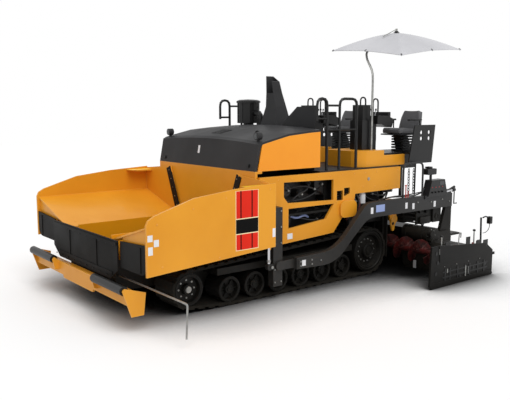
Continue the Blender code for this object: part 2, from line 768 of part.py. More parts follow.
def hood_section(y, inset):
    low = BULKHEAD_TOP + FIT
    rise = hood_crown(y)
    return [(x, z + (rise if z > low else 0)) for x, z in hood_line(inset)]


def hood_shell():
    """Dark front and crowned top, one bent sheet, with its hinge ears and the two lamps."""
    rings = []
    for share in HOOD_STATION_SHARES:
        y = share * BODY_HALF
        loop = hood_section(y, 0) + hood_section(y, PLATE)[::-1]
        rings.append([(x, y, z) for x, z in loop])
    solids = [loft(rings)]
    for side, word in SIDES:
        y = side * HOOD_OPEN_HINGE_Y
        lip = KNUCKLE_HALF - FRAME_PLATE / 4
        solids.append(drum("y", (HOOD_HINGE_X, HOOD_HINGE_Z), HOOD_EAR_RADIUS,
                           y - KNUCKLE_HALF, y + KNUCKLE_HALF))
        solids.append(box(HOOD_HINGE_X, HOOD_REAR + PLATE, y - lip, y + lip,
                          HOOD_HINGE_Z - HOOD_EAR_RADIUS / 2, HOOD_HINGE_Z + HOOD_EAR_RADIUS / 2))
        lamp = (side * HOOD_LAMP_Y, HOOD_NOSE_TOP + HOOD_LAMP_LIFT)
        rear = HOOD_NOSE - HOOD_LAMP_DEPTH
        solids.append(drum("x", lamp, HOOD_LAMP_RADIUS, rear, HOOD_NOSE))
        solids.append(box(rear + SHEET, HOOD_NOSE - SHEET, lamp[0] - SHEET / 2, lamp[0] + SHEET / 2,
                          HOOD_NOSE_TOP - SHEET / 2, lamp[1]))
    return piece("hood_shell", "hood_grey", solids, pivot=(HOOD_HINGE_X, 0, HOOD_HINGE_Z))


def hood_side(side, word):
    """Bright side panel under the hood's crowned edge."""
    edge = hood_section(BODY_HALF, PLATE)
    outline = [(x - (SHEET if i < 2 else 0), z - FIT) for i, (x, z) in enumerate(edge)]
    outline[0] = (outline[0][0], BULKHEAD_TOP + FIT)
    outline.append((HOOD_REAR, BULKHEAD_TOP + FIT))
    piece("hood_side_" + word, "hood_yellow",
          [prism("y", outline, side * (BODY_HALF - SHEET), side * BODY_HALF)],
          pivot=(HOOD_HINGE_X, 0, HOOD_HINGE_Z))


HOOD_GAP = 0.080
COWL_FRONT = HOOD_REAR - HOOD_GAP
COWL_LEFT = BODY_HALF - 0.200
COWL_RIGHT = -BODY_HALF + 0.150
COWL_REAR_LEFT = COWL_LEFT - 0.430
COWL_REAR_RIGHT = COWL_RIGHT + 0.400
COWL_BOX_INNER = COWL_LEFT - 0.420
COWL_FACET_TOP_Y = COWL_LEFT - 0.750
COWL_FACET_LOW_Y = COWL_LEFT - 0.780
COWL_BOX = (
    # y, height of the raised box's outline
    (COWL_LEFT, COWL_TOP), (COWL_BOX_INNER, COWL_TOP), (COWL_FACET_TOP_Y, COWL_LOW_TOP + 0.080),
    (COWL_FACET_LOW_Y, COWL_LOW_TOP - PLATE), (COWL_LEFT, COWL_LOW_TOP - PLATE),
)


def cowl_wedge(front_y, rear_y):
    """Cutter outside one of the cowl's slanting sides."""
    slope = (rear_y - front_y) / (COWL_REAR - COWL_FRONT)
    ahead = COWL_FRONT + OVERRUN
    behind = COWL_REAR - OVERRUN
    outer = front_y + math.copysign(OVERRUN, front_y)
    outline = [(ahead, front_y + slope * OVERRUN), (behind, rear_y - slope * OVERRUN),
               (behind, outer), (ahead, outer + slope * OVERRUN)]
    return prism("z", outline, DECK_TOP - OVERRUN, COWL_TOP + OVERRUN)


def rear_cowl():
    """Slant-sided wall behind the hood with the raised service box and the hood's hinge knuckles."""
    low = DECK_TOP + FIT
    solids = [box(COWL_REAR, COWL_FRONT, COWL_RIGHT, COWL_LEFT, low, COWL_LOW_TOP),
              prism("x", COWL_BOX, COWL_REAR + SHEET, COWL_FRONT - SHEET)]
    wedges = [cowl_wedge(COWL_LEFT, COWL_REAR_LEFT), cowl_wedge(COWL_RIGHT, COWL_REAR_RIGHT)]
    body = solids[0]
    boolean(body, solids[1:], "UNION")
    boolean(body, wedges, "DIFFERENCE")
    knuckles = []
    for y in (-HOOD_OPEN_HINGE_Y, HOOD_OPEN_HINGE_Y):
        for step in (-1, 1):
            place = y + step * (2 * KNUCKLE_HALF + FIT)
            knuckles.append(drum("y", (HOOD_HINGE_X, HOOD_HINGE_Z), HOOD_EAR_RADIUS,
                                 place - KNUCKLE_HALF, place + KNUCKLE_HALF))
            knuckles.append(box(COWL_FRONT - SHEET, HOOD_HINGE_X, place - KNUCKLE_HALF / 2,
                                place + KNUCKLE_HALF / 2, HOOD_HINGE_Z - HOOD_EAR_RADIUS * KNUCKLE_LOW_SHARE,
                                HOOD_HINGE_Z - HOOD_EAR_RADIUS * KNUCKLE_TOP_SHARE))
    piece("rear_cowl", "hood_grey", [body, *knuckles])


KNUCKLE_LOW_SHARE = 0.8
KNUCKLE_TOP_SHARE = 0.2
STACK_FOOT = COWL_LOW_TOP + FIT
STACK_TOP = DECK_TOP + 1.420
STACK_REAR = -0.520
STACK_FRONT = -0.190
STACK_RIGHT = -0.260
STACK_LEFT = 0.160
STACK_WALL = 0.015
STACK_SHARES = (
    # rear, front, right and left side, height at the right side and at the left side
    (0, 1, 0, 1, 0, 0),
    (0.18, 0.85, 0.23, 0.81, 0.41, 0.41),
    (0.23, 0.77, 0.18, 0.62, 0.67, 0.67),
    (0.27, 0.73, 0.13, 0.50, 1, 0.89),
)


def stack_ring(row, wall):
    """One section of the stack, or of its hollow where a wall is given, open to the front."""
    rear, front, right, left, right_z, left_z = row
    length = STACK_FRONT - STACK_REAR
    width = STACK_LEFT - STACK_RIGHT
    height = STACK_TOP - STACK_FOOT
    x0 = STACK_REAR + length * rear + wall
    x1 = STACK_REAR + length * front + (OVERRUN if wall else 0)
    y0 = STACK_RIGHT + width * right + wall
    y1 = STACK_RIGHT + width * left - wall
    z0 = STACK_FOOT + height * right_z
    z1 = STACK_FOOT + height * left_z
    return [(x0, y0, z0), (x1, y0, z0), (x1, y1, z1), (x0, y1, z1)]


def exhaust_stack():
    """Fume stack that narrows upwards to a scoop open at the front."""
    rings = [stack_ring(row, 0) for row in STACK_SHARES]
    hollow = [stack_ring(row, STACK_WALL) for row in STACK_SHARES[-2:]]
    hollow.append([(x, y, z + OVERRUN) for x, y, z in hollow[-1]])
    piece("exhaust_stack", "hood_grey", [loft(rings)], [loft(hollow)])


PRE_CLEANER_X = -0.370
PRE_CLEANER_Y = 0.460 - BODY_HALF
PRE_CLEANER_RADIUS = 0.190
PRE_CLEANER_NECK = 0.090
PRE_CLEANER_CAP = 0.205
PRE_CLEANER_TOP = COWL_TOP + 0.130
PRE_CLEANER_RIBS = 18
OUTLET_RADIUS = 0.050
OUTLET_REACH = 0.330


def pre_cleaner():
    """Fluted intake drum with a domed cap, its neck and its bent outlet pipe."""
    centre = (PRE_CLEANER_X, PRE_CLEANER_Y)
    low = STACK_FOOT + 2 * PLATE
    cap = PRE_CLEANER_TOP - 2 * PLATE
    flutes = []
    for i in range(PRE_CLEANER_RIBS):
        radius = PRE_CLEANER_RADIUS - (SHEET / 2 if i % 2 else 0)
        start = 360 * i / PRE_CLEANER_RIBS
        flutes += arc(centre, radius, start, start + 360 / PRE_CLEANER_RIBS, 1)
    profile = ((0, cap), (PRE_CLEANER_CAP, cap), (PRE_CLEANER_CAP, cap + PLATE),
               (PRE_CLEANER_RADIUS - PLATE, PRE_CLEANER_TOP - SHEET / 2), (0, PRE_CLEANER_TOP))
    reach = PRE_CLEANER_Y + OUTLET_REACH
    height = (low + cap) / 2
    outlet = [(PRE_CLEANER_X, PRE_CLEANER_Y + PRE_CLEANER_RADIUS - 2 * SHEET, height),
              (PRE_CLEANER_X, reach, height), (PRE_CLEANER_X, reach, STACK_FOOT)]
    solids = [prism("z", flutes, low, cap + SHEET / 2), turned("z", centre, profile),
              drum("z", centre, PRE_CLEANER_NECK, STACK_FOOT, low + SHEET),
              tube(outlet, OUTLET_RADIUS, PIPE_BEND)]
    piece("pre_cleaner", "rail_black", solids, smooth=True)


# Operator's platform

RAIL_A_FRONT = -0.075
RAIL_A_REAR = -0.275
RAIL_B_FRONT = -0.535
RAIL_B_REAR = -0.899
RAIL_MID = DECK_TOP + 0.590
RAIL_HOOK = 0.320
CROSS_PIPE_SHARE = 0.8


def handrail(side, word):
    """Two hooped rails joined by a cross bar, standing on the deck."""
    foot = DECK_TOP + FIT
    y = side * RAIL_Y
    front, rear = RAIL_A_FRONT, RAIL_A_REAR
    low = RAIL_TOP - RAIL_HOOK
    solids = [tube([(front, y, low), (front, y, RAIL_TOP), (rear, y, RAIL_TOP), (rear, y, foot)],
                   PIPE_RADIUS, PIPE_BEND),
              tube([(RAIL_B_FRONT, y, foot), (RAIL_B_FRONT, y, RAIL_TOP), (RAIL_B_REAR, y, RAIL_TOP),
                    (RAIL_B_REAR, y, foot)], PIPE_RADIUS, PIPE_BEND)]
    for z, x0, x1 in ((RAIL_TOP - PIPE_BEND, rear, RAIL_B_FRONT), (RAIL_MID, rear, RAIL_B_REAR),
                      (low + PLATE, front, rear)):
        solids.append(tube([(x0, y, z), (x1, y, z)], PIPE_RADIUS * CROSS_PIPE_SHARE))
    piece("handrail_" + word, "rail_black", solids, smooth=True)


def station_y(side, y):
    """A place across the left station, or its mirror place on the right one, which stands further in."""
    return y if side > 0 else RIGHT_SLIDE - y


def station(side, word):
    """Yellow station box with its lower step behind."""
    foot = DECK_TOP + FIT
    inner = station_y(side, STATION_INNER)
    outer = station_y(side, STATION_OUTER)
    front = prism("z", spread(STATION_SHARES, STATION_STEP, STATION_FRONT, inner, outer), foot, STATION_TOP)
    rear = box(STATION_REAR, STATION_STEP + SHEET, inner, outer, foot, STATION_STEP_TOP)
    piece("station_" + word, "body_yellow", [front, rear])


STATION_SHARES = ((0, 0), (0, 1), (0.70, 1), (0.93, 0.91), (1, 0.78), (1, 0.06), (0.96, 0))
COLUMN_FRONT = -1.270
COLUMN_REAR = -1.600
COLUMN_HALF = 0.130
COLUMN_TOP = DECK_TOP + 0.720
HEAD_FRONT = -1.300
HEAD_REAR = -1.480
HEAD_TOP = DECK_TOP + 0.960
DESK_FRONT = -1.560
DESK_REAR = -1.960
DESK_LOW = DECK_TOP + 0.600
DESK_TOP = DECK_TOP + 0.790
DESK_HALF = 0.190
DESK_SHARES = ((1, 0.30), (1, 1), (0.40, 1), (0, 0.71), (0.125, 0), (0.80, 0.29))
FLOOR_REAR = -2.550
FOOT_BOX_LOW = DECK_TOP - 0.080
FOOT_BOX_FRONT = -2.100
PEDESTAL_HALF = 0.070
PEDESTAL_SHARES = ((0, 0), (0.75, 0), (1, 1), (0.45, 1))
PEDESTAL_REAR = -2.500
PEDESTAL_FRONT = -2.150
LOOP_RADIUS = 0.013
LOOP_HALF = 0.060
LOOP_TOP = DECK_TOP + 1.080


def console(side, word):
    """Dark control column with its tilted desk, grab loops, floor plate, seat pedestal and shield."""
    low = STATION_STEP_TOP + FIT
    floor_top = low + PLATE
    centre = station_y(side, CONSOLE_Y)
    inner, outer = sorted((centre - COLUMN_HALF, centre + COLUMN_HALF))
    seat_y = station_y(side, SEAT_Y)
    floor_in = station_y(side, STATION_INNER + 3 * PLATE)
    floor_out = station_y(side, STATION_OUTER - SHEET)
    desk = prism("y", spread(DESK_SHARES, DESK_REAR, DESK_FRONT, DESK_LOW, DESK_TOP),
                 centre - DESK_HALF, centre + DESK_HALF)
    pedestal = prism("y", spread(PEDESTAL_SHARES, PEDESTAL_REAR, PEDESTAL_FRONT, floor_top - SHEET,
                                 SEAT_Z - FIT), seat_y - PEDESTAL_HALF, seat_y + PEDESTAL_HALF)
    solids = [box(FLOOR_REAR, STATION_STEP - FIT, floor_in, floor_out, low, floor_top),
              box(COLUMN_REAR, STATION_STEP - FIT, inner, outer, low, COLUMN_TOP - PLATE),
              box(COLUMN_REAR + SHEET, COLUMN_FRONT, inner, outer, STATION_TOP + FIT, COLUMN_TOP),
              box(HEAD_REAR, HEAD_FRONT, inner + SHEET, outer - SHEET, COLUMN_TOP - PLATE, HEAD_TOP),
              box(FLOOR_REAR + PLATE, FOOT_BOX_FRONT, seat_y - 2 * PEDESTAL_HALF, seat_y + 2 * PEDESTAL_HALF,
                  FOOT_BOX_LOW, low + SHEET / 2), desk, pedestal]
    for x, top in ((HEAD_REAR + LOOP_HALF, LOOP_TOP), (DESK_REAR + 4 * LOOP_HALF, LOOP_TOP - SHEET)):
        foot = top - 5 * LOOP_HALF
        solids.append(tube([(x + LOOP_HALF, centre, foot), (x + LOOP_HALF, centre, top),
                            (x - LOOP_HALF, centre, top), (x - LOOP_HALF, centre, foot)], LOOP_RADIUS,
                           LOOP_HALF))
    piece("console_" + word, "rail_black", [*solids, *shield(side)])


SHIELD_FRONT = -1.950
SHIELD_REAR = -2.620
SHIELD_LOW = DECK_TOP + 0.020
SHIELD_TOP = DECK_TOP + 0.640
SHIELD_SLOPE = 0.140
SHIELD_HOLE = 0.035
SHIELD_HOLE_X = -2.260
SHIELD_HOLE_Z = DECK_TOP + 0.520
SHIELD_HOLE_PITCH = 0.200


def shield(side):
    """Plate beside the seat with its round holes, on a bracket from the floor plate."""
    outline = [(SHIELD_FRONT, SHIELD_LOW), (SHIELD_FRONT - SHIELD_SLOPE, SHIELD_TOP),
               (SHIELD_REAR, SHIELD_TOP), (SHIELD_REAR + SHIELD_SLOPE / 2, SHIELD_LOW)]
    holes = []
    for i in range(2):
        for k in range(2):
            place = (SHIELD_HOLE_X - i * SHIELD_HOLE_PITCH, SHIELD_HOLE_Z - k * SHIELD_HOLE_PITCH / 2)
            holes.append(arc(place, SHIELD_HOLE, 0, 330, 11))
    plate = prism("y", outline, station_y(side, SHIELD_Y), station_y(side, SHIELD_Y + SHEET), holes=holes)
    low = STATION_STEP_TOP + FIT
    foot = box(STATION_REAR - 2 * BOSS_RADIUS, STATION_REAR, station_y(side, STATION_OUTER - 2 * SHEET),
               station_y(side, SHIELD_Y + SHEET / 2), low, low + PLATE)
    return plate, foot


SEAT_REACH = 0.320
SEAT_HEIGHT = 0.440
SEAT_BEND = 0.050
SEAT_SHARES = (
    # share of the length from the rear, share of the height
    (0.28, 0), (0.60, 0), (1, 0.02), (1, 0.28), (0.65, 0.25), (0.34, 0.22), (0.24, 0.65), (0.14, 1),
    (0, 0.96), (0.09, 0.45), (0.17, 0.10),
)


def seat(side, word):
    """Padded seat with its raked back."""
    y = station_y(side, SEAT_Y)
    corners = spread(SEAT_SHARES, SEAT_X - SEAT_REACH, SEAT_X + SEAT_REACH, SEAT_Z, SEAT_Z + SEAT_HEIGHT)
    outline = rounded([corners[-1], *corners, corners[0]], SEAT_BEND, 2)[1:-1]
    pad = prism("y", outline, y - SEAT_WIDTH / 2, y + SEAT_WIDTH / 2)
    piece("seat_" + word, "seat_grey", [pad], smooth=True)


CANOPY_STEPS = 8
CANOPY_THICK = 0.012
CANOPY_RIDGE_SHARE = 0.76
CANOPY_CURVE = 1.4
POLE_RADIUS = 0.018
HUB_SIDES = 12
HUB_HOLE = POLE_RADIUS / math.cos(math.pi / HUB_SIDES) + FIT
POLE_ELBOW_X = -1.476
POLE_ELBOW_Y = CONSOLE_Y
POLE_ELBOW_Z = DECK_TOP + 1.695
POLE_NECK_X = -1.528
POLE_NECK_Y = CONSOLE_Y - 0.050
POLE_NECK_Z = DECK_TOP + 1.815
HANDLE_REACH_SHARE = 0.44
HANDLE_RADIUS = 0.008


def canopy_lift(a, b):
    """Height of the canopy's underside over its rim's plane, at shares of its half width."""
    ridge = max(abs(a), abs(b)) ** CANOPY_CURVE
    dome = (a * a + b * b) / 2
    return UMBRELLA_RISE * (1 - CANOPY_RIDGE_SHARE * ridge - (1 - CANOPY_RIDGE_SHARE) * dome)


def umbrella():
    """Square canopy tilted towards the front left, its bent pole and the wire handle on its top."""
    lean = math.sin(UMBRELLA_TILT) * Vector((1, 1, 0)).normalized()
    normal = lean + Vector((0, 0, math.cos(UMBRELLA_TILT)))
    x_axis = (Vector((1, 0, 0)) - normal * normal.x).normalized()
    y_axis = normal.cross(x_axis)
    centre = Vector((UMBRELLA_X, UMBRELLA_Y, UMBRELLA_Z))
    half = UMBRELLA_SIDE / 2
    steps = [2 * i / CANOPY_STEPS - 1 for i in range(CANOPY_STEPS + 1)]
    verts = []
    for rise in (0, CANOPY_THICK):
        for a in steps:
            for b in steps:
                verts.append(centre + (x_axis * a + y_axis * b) * half + normal * (canopy_lift(a, b) + rise))
    n = CANOPY_STEPS
    row = n + 1
    layer = row * row
    faces = []
    for i in range(n):
        for j in range(n):
            first = i * row + j
            square = (first, first + row, first + row + 1, first + 1)
            faces.append(square)
            faces.append(tuple(corner + layer for corner in square))
    rim = [i * row for i in range(n)] + [n * row + j for j in range(n)]
    rim += [(n - i) * row + n for i in range(n)] + [n - j for j in range(n)]
    for first, second in zip(rim, rim[1:] + rim[:1]):
        faces.append((first, second, second + layer, first + layer))
    hub = tube([centre, centre + normal * (UMBRELLA_RISE + PLATE + FINIAL_RISE)], HUB_HOLE, 0, HUB_SIDES)
    piece("umbrella_canopy", "canopy_cloth", [solid(verts, faces)], [hub], smooth=True)
    finial = centre + normal * (UMBRELLA_RISE + FINIAL_RISE)
    foot = Vector((POLE_X, POLE_Y, STATION_TOP + FIT))
    under = centre + normal * (UMBRELLA_RISE - PIPE_BEND)
    path = [foot, (POLE_X, POLE_Y, POLE_BEND_Z), (POLE_ELBOW_X, POLE_ELBOW_Y, POLE_ELBOW_Z),
            (POLE_NECK_X, POLE_NECK_Y, POLE_NECK_Z), under, finial]
    landing_rise = canopy_lift(HANDLE_REACH_SHARE, 0) + CANOPY_THICK + 3 * HANDLE_RADIUS
    landing = centre + x_axis * HANDLE_REACH_SHARE * half + normal * landing_rise
    handle = tube([finial - normal * HANDLE_RADIUS, landing], HANDLE_RADIUS, 0, 6)
    piece("umbrella_pole", "steel", [tube(path, POLE_RADIUS, PIPE_BEND), handle], smooth=True)


# Hopper

WING_INNER_FACE = WING_OUTER - PLATE
WING_REAR = BULKHEAD_FRONT + SWING
WING_PLATE_SHARES = (
    # share of the length from the rear, share of the height
    (0, 0.125), (1, 0), (1, 0.62), (0.985, 0.685), (0.94, 0.735), (0.66, 0.90), (0.35, 0.965), (0, 1),
)
WING_SKIRT = 0.080
WING_TAIL = 0.150
WING_RIB_TOP = 1.005
WING_FLAP_JOIN = 1.080
FLAP_BEND = 0.130
FLAP_RIB_Y = WING_OUTER - 0.170
FLAP_RIB_HALF = 0.015


def wing(side, word):
    """Hopper wing: outer plate, sloping floor, rear and front closing plates and hinge knuckles."""
    hinge = (0, side * WING_HINGE_Y, WING_HINGE_Z)
    floor_front = WING_FRONT - PLATE
    outer = prism("y", spread(WING_PLATE_SHARES, WING_REAR, WING_FRONT, WING_LOW, WING_TOP),
                  side * WING_INNER_FACE, side * WING_OUTER)
    floor = prism("x", [(side * WING_FLOOR_INNER_Y, WING_FLOOR_INNER_Z),
                        (side * WING_FLOOR_INNER_Y, WING_FLOOR_INNER_Z - SHEET),
                        (side * (WING_INNER_FACE + SHEET / 2), WING_FLOOR_OUTER_Z - SHEET),
                        (side * (WING_INNER_FACE + SHEET / 2), WING_FLOOR_OUTER_Z)],
                  WING_REAR + SHEET / 2, floor_front)
    rear = prism("x", [(side * (WING_FLOOR_INNER_Y + SHEET), WING_FLOOR_INNER_Z - WING_SKIRT),
                       (side * WING_FLOOR_INNER_Y, WING_FLOOR_INNER_Z + SHEET),
                       (side * WING_REAR_TOP_Y, WING_REAR_TOP),
                       (side * (WING_INNER_FACE + SHEET / 2), WING_TOP - SHEET),
                       (side * (WING_INNER_FACE + SHEET / 2), WING_LOW + WING_TAIL)],
                 WING_REAR, WING_REAR + SHEET)
    front = prism("x", [(side * FLAP_INNER, WING_FLOOR_INNER_Z - SHEET),
                        (side * FLAP_INNER, WING_LOW + PLATE),
                        (side * (WING_INNER_FACE + SHEET / 2), WING_LOW + PLATE),
                        (side * (WING_INNER_FACE + SHEET / 2), WING_FLOOR_OUTER_Z - SHEET / 2),
                        (side * FLAP_INNER, WING_FLAP_JOIN)],
                  floor_front - 2 * SHEET, floor_front - SHEET)
    solids = [outer, floor, rear, front]
    for x in (KNUCKLE_REAR, KNUCKLE_FRONT):
        for step in (-1, 1):
            place = x + step * (2 * KNUCKLE_HALF + FIT)
            solids.append(drum("x", (side * WING_HINGE_Y, WING_HINGE_Z), BOSS_RADIUS,
                               place - KNUCKLE_HALF, place + KNUCKLE_HALF))
            rib = [(side * (WING_HINGE_Y - SHEET), WING_HINGE_Z),
                   (side * (WING_HINGE_Y + SHEET), WING_HINGE_Z),
                   (side * (WING_HINGE_Y + BOSS_RADIUS), WING_RIB_TOP),
                   (side * (WING_HINGE_Y - BOSS_RADIUS), WING_RIB_TOP)]
            solids.append(prism("x", rib, place - SHEET / 2, place + SHEET / 2))
    seal_top = (WING_REAR_TOP_Y + SHEET / 2, WING_REAR_TOP - SHEET)
    seal_foot = (WING_FLOOR_INNER_Y + SHEET / 2, WING_FLOOR_INNER_Z + 5 * SHEET)
    seal = [(side * seal_top[0], seal_top[1]), (side * (seal_top[0] + SEAL_WIDTH), seal_top[1]),
            (side * (seal_foot[0] + SEAL_WIDTH), seal_foot[1]), (side * seal_foot[0], seal_foot[1])]
    solids.append(prism("x", seal, WING_REAR + SHEET / 2, WING_REAR + 1.5 * SHEET))
    ledge = [(WING_REAR + SHEET / 2, side * (WING_INNER_FACE + SHEET / 2)),
             (WING_REAR + LEDGE_LENGTH, side * (WING_INNER_FACE + SHEET / 2)),
             (WING_REAR + LEDGE_LENGTH - 4 * SHEET, side * (WING_OUTER - LEDGE_WIDTH)),
             (WING_REAR + SHEET / 2, side * (WING_OUTER - LEDGE_WIDTH))]
    solids.append(prism("z", ledge, WING_TOP - LEDGE_DROP - SHEET, WING_TOP - LEDGE_DROP))
    piece("wing_" + word, "hopper_yellow", solids, pivot=hinge)
    low_corner = WING_INNER_FACE - FIT - FLAP_BEND
    bend = arc((low_corner, WING_LOW + FLAP_BEND), FLAP_BEND, -90, 0, 4)
    flap = [(FLAP_INNER, WING_LOW), *bend, (WING_INNER_FACE - FIT, FLAP_TOP), (FLAP_INNER, APRON_TOP)]
    rib = box(floor_front + SHEET / 2, floor_front + 1.5 * SHEET, side * (FLAP_RIB_Y - FLAP_RIB_HALF),
              side * (FLAP_RIB_Y + FLAP_RIB_HALF), WING_LOW + SHEET, APRON_TOP)
    plate = prism("x", [(side * y, z) for y, z in flap], floor_front + FIT, floor_front + SHEET)
    piece("apron_flap_" + word, "rail_black", [plate, rib], pivot=hinge)


APRON_SHOULDER = 0.660
APRON_LIP = 0.800
APRON_ROW = 0.600
APRON_RIB_Y = 0.420


def front_apron():
    """Black centre apron in front of the wings' flaps, with its hinge row and ribs, on two arms."""
    back = WING_FRONT - PLATE + SHEET + SWING
    outline = [(-APRON_HALF, APRON_SHOULDER), (-APRON_LIP, APRON_LOW), (APRON_LIP, APRON_LOW),
               (APRON_HALF, APRON_SHOULDER), (APRON_HALF, APRON_TOP), (-APRON_HALF, APRON_TOP)]
    solids = [prism("x", outline, back, back + SHEET)]
    face = back + SHEET / 2
    row_half = APRON_LIP + 2 * PLATE
    solids.append(box(face, back + 1.5 * SHEET, -row_half, row_half, APRON_ROW - SHEET, APRON_ROW + SHEET))
    solids.append(box(face, back + 1.5 * SHEET, -APRON_HALF + SHEET, APRON_HALF - SHEET,
                      APRON_TOP - 3 * SHEET, APRON_TOP - SHEET))
    for side, word in SIDES:
        solids.append(box(FRAME_FRONT + FIT, face, side * (FRAME_HALF - FRAME_PLATE),
                          side * FRAME_HALF, APRON_SHOULDER - 2 * PLATE, HOPPER_SILL - PLATE / 2))
        rib = side * APRON_RIB_Y
        solids.append(box(face, back + 1.5 * SHEET, rib - SHEET / 2, rib + SHEET / 2, APRON_ROW,
                          APRON_TOP - 2 * SHEET))
    piece("front_apron", "rail_black", solids)


ROLLER_AXIS_X = MACHINE_REACH - PUSH_ROLLER_RADIUS
ROLLER_AXIS_Z = 0.525
PUSH_PIVOT_HALF = 0.300
PUSH_LIP_HALF = 0.500
PUSH_LIP_DROP = 0.040


def push_bar():
    """Cross bar with end plates and the four bearing plates of the push rollers."""
    solids = [box(PUSH_REAR, PUSH_FACE, -PUSH_HALF + SHEET, PUSH_HALF - SHEET, PUSH_LOW, PUSH_TOP - PLATE),
              box(FRAME_FRONT + FIT, PUSH_REAR + SHEET, -PUSH_PIVOT_HALF, PUSH_PIVOT_HALF,
                  PUSH_LOW + PLATE, PUSH_TOP - 2 * PLATE)]
    edge = PUSH_ROLLER_INNER - SWING - SHEET / 2
    solids.append(box(PUSH_FACE - SHEET, PUSH_FACE, -edge, edge, PUSH_TOP - 2 * PLATE, PUSH_TOP + PLATE))
    solids.append(box(PUSH_REAR - PLATE, PUSH_FACE - SHEET / 2, -PUSH_HALF + SHEET, PUSH_HALF - SHEET,
                      PUSH_TOP - PLATE - SHEET / 2, PUSH_TOP - PLATE + SHEET / 4))
    lip = [(-PUSH_LIP_HALF, PUSH_LOW + SHEET), (PUSH_LIP_HALF, PUSH_LOW + SHEET),
           (PUSH_LIP_HALF - PUSH_LIP_DROP, PUSH_LOW - PUSH_LIP_DROP),
           (PUSH_LIP_DROP - PUSH_LIP_HALF, PUSH_LOW - PUSH_LIP_DROP)]
    solids.append(prism("x", lip, PUSH_FACE - PLATE, PUSH_FACE))
    end_outline = [(PUSH_REAR - 2 * PLATE, PUSH_TOP), (PUSH_REAR - PLATE, PUSH_FOOT),
                   (PUSH_FACE - SHEET, PUSH_FOOT), (ROLLER_AXIS_X, PUSH_TOP - PLATE),
                   (ROLLER_AXIS_X + PLATE, ROLLER_AXIS_Z), (ROLLER_AXIS_X, ROLLER_AXIS_Z + PLATE)]
    ear_outline = [(PUSH_FACE - 2 * PLATE, PUSH_LOW + PLATE), (ROLLER_AXIS_X, PUSH_LOW + 2 * PLATE),
                   (ROLLER_AXIS_X + PLATE, ROLLER_AXIS_Z), (ROLLER_AXIS_X, ROLLER_AXIS_Z + PLATE),
                   (PUSH_FACE - 2 * PLATE, PUSH_TOP)]
    for side, word in SIDES:
        solids.append(prism("y", end_outline, side * (PUSH_HALF - SHEET), side * PUSH_HALF))
        inner = PUSH_ROLLER_INNER - SWING
        solids.append(prism("y", ear_outline, side * (inner - SHEET), side * inner))
        for low, high in ((inner - SHEET / 2, PUSH_ROLLER_INNER - FIT),
                          (PUSH_HALF - SHEET - SWING + FIT, PUSH_HALF - SHEET / 2)):
            solids.append(drum("y", (ROLLER_AXIS_X, ROLLER_AXIS_Z), PIN_RADIUS, side * low, side * high, 12))
    piece("push_bar", "body_yellow", solids)


def push_roller(side, word):
    piece("push_roller_" + word, "rail_black",
          [drum("y", (ROLLER_AXIS_X, ROLLER_AXIS_Z), PUSH_ROLLER_RADIUS, side * PUSH_ROLLER_INNER,
                side * (PUSH_HALF - SHEET - SWING))],
          pivot=(ROLLER_AXIS_X, 0, ROLLER_AXIS_Z), smooth=True)


ROD_X = 2.855
ROD_Z = 0.515
ROD_REACH = 2.300
ROD_TIP_Z = 0.120
ROD_RADIUS = 0.012
ROD_BEND = 0.040


def guide_rod():
    """Steering guide rod that reaches out at the left front and hangs down at its tip."""
    y = FRAME_HALF + FIT
    path = [(ROD_X, y, ROD_Z), (ROD_X, ROD_REACH, ROD_Z), (ROD_X, ROD_REACH - PLATE, ROD_TIP_Z)]
    piece("guide_rod", "steel", [tube(path, ROD_RADIUS, ROD_BEND, 6)])


# Towing gear

GUIDE_INNER = PANEL_OUTER + FIT
GUIDE_REAR = TOW_X - GUIDE_WIDTH / 2
GUIDE_FRONT = TOW_X + GUIDE_WIDTH / 2
GUIDE_ARM_LOW = 0.900
GUIDE_ARM_REAR = 0.775
CYLINDER_Y = GUIDE_OUTER
CYLINDER_EYE = 0.060
BARREL_LOW = 0.780
TOW_PIVOT = (TOW_X, 0, TOW_Z)
ARM_FRONT = 0.560
ARM_END_X = -2.980
ARM_LOW = 0.375
ARM_TOP = 1.200
ARM_SHARES = (
    # share of the length from the front, share of the height of the top and of the lower edge
    (0, 0.218, 0.024), (0.181, 0.233, 0), (0.251, 0.370, 0.127), (0.294, 0.552, 0.312),
    (0.396, 0.982, 0.679), (0.435, 1, 0.715), (1, 0.988, 0.709),
)
ARM_TAIL_LOW = ARM_LOW + (ARM_TOP - ARM_LOW) * ARM_SHARES[-1][2]
ARM_TAIL_TOP = ARM_LOW + (ARM_TOP - ARM_LOW) * ARM_SHARES[-1][1]
ARM_BEND = 0.120
ARM_PLATE_REAR = 0.250
ARM_PLATE_REACH = 0.012


def tow_guide(side, word):
    """Upright guide outside the track, hung from the chassis by an arm over the belt."""
    column = box(GUIDE_REAR, GUIDE_FRONT, side * GUIDE_INNER, side * GUIDE_OUTER, GUIDE_LOW, GUIDE_TOP)
    arm = box(GUIDE_ARM_REAR, GUIDE_FRONT - SHEET, side * (FRAME_HALF + FIT),
              side * (GUIDE_INNER + SHEET), GUIDE_ARM_LOW, TUNNEL_ROOF - FIT)
    lug = box(GUIDE_FRONT - SHEET, CYLINDER_X + PLATE, side * GUIDE_INNER,
              side * (CYLINDER_Y - CYLINDER_EYE / 4), GUIDE_TOP - 2 * PLATE, GUIDE_TOP)
    piece("tow_guide_" + word, "arm_grey", [column, arm, lug, *tow_cylinder(side)])


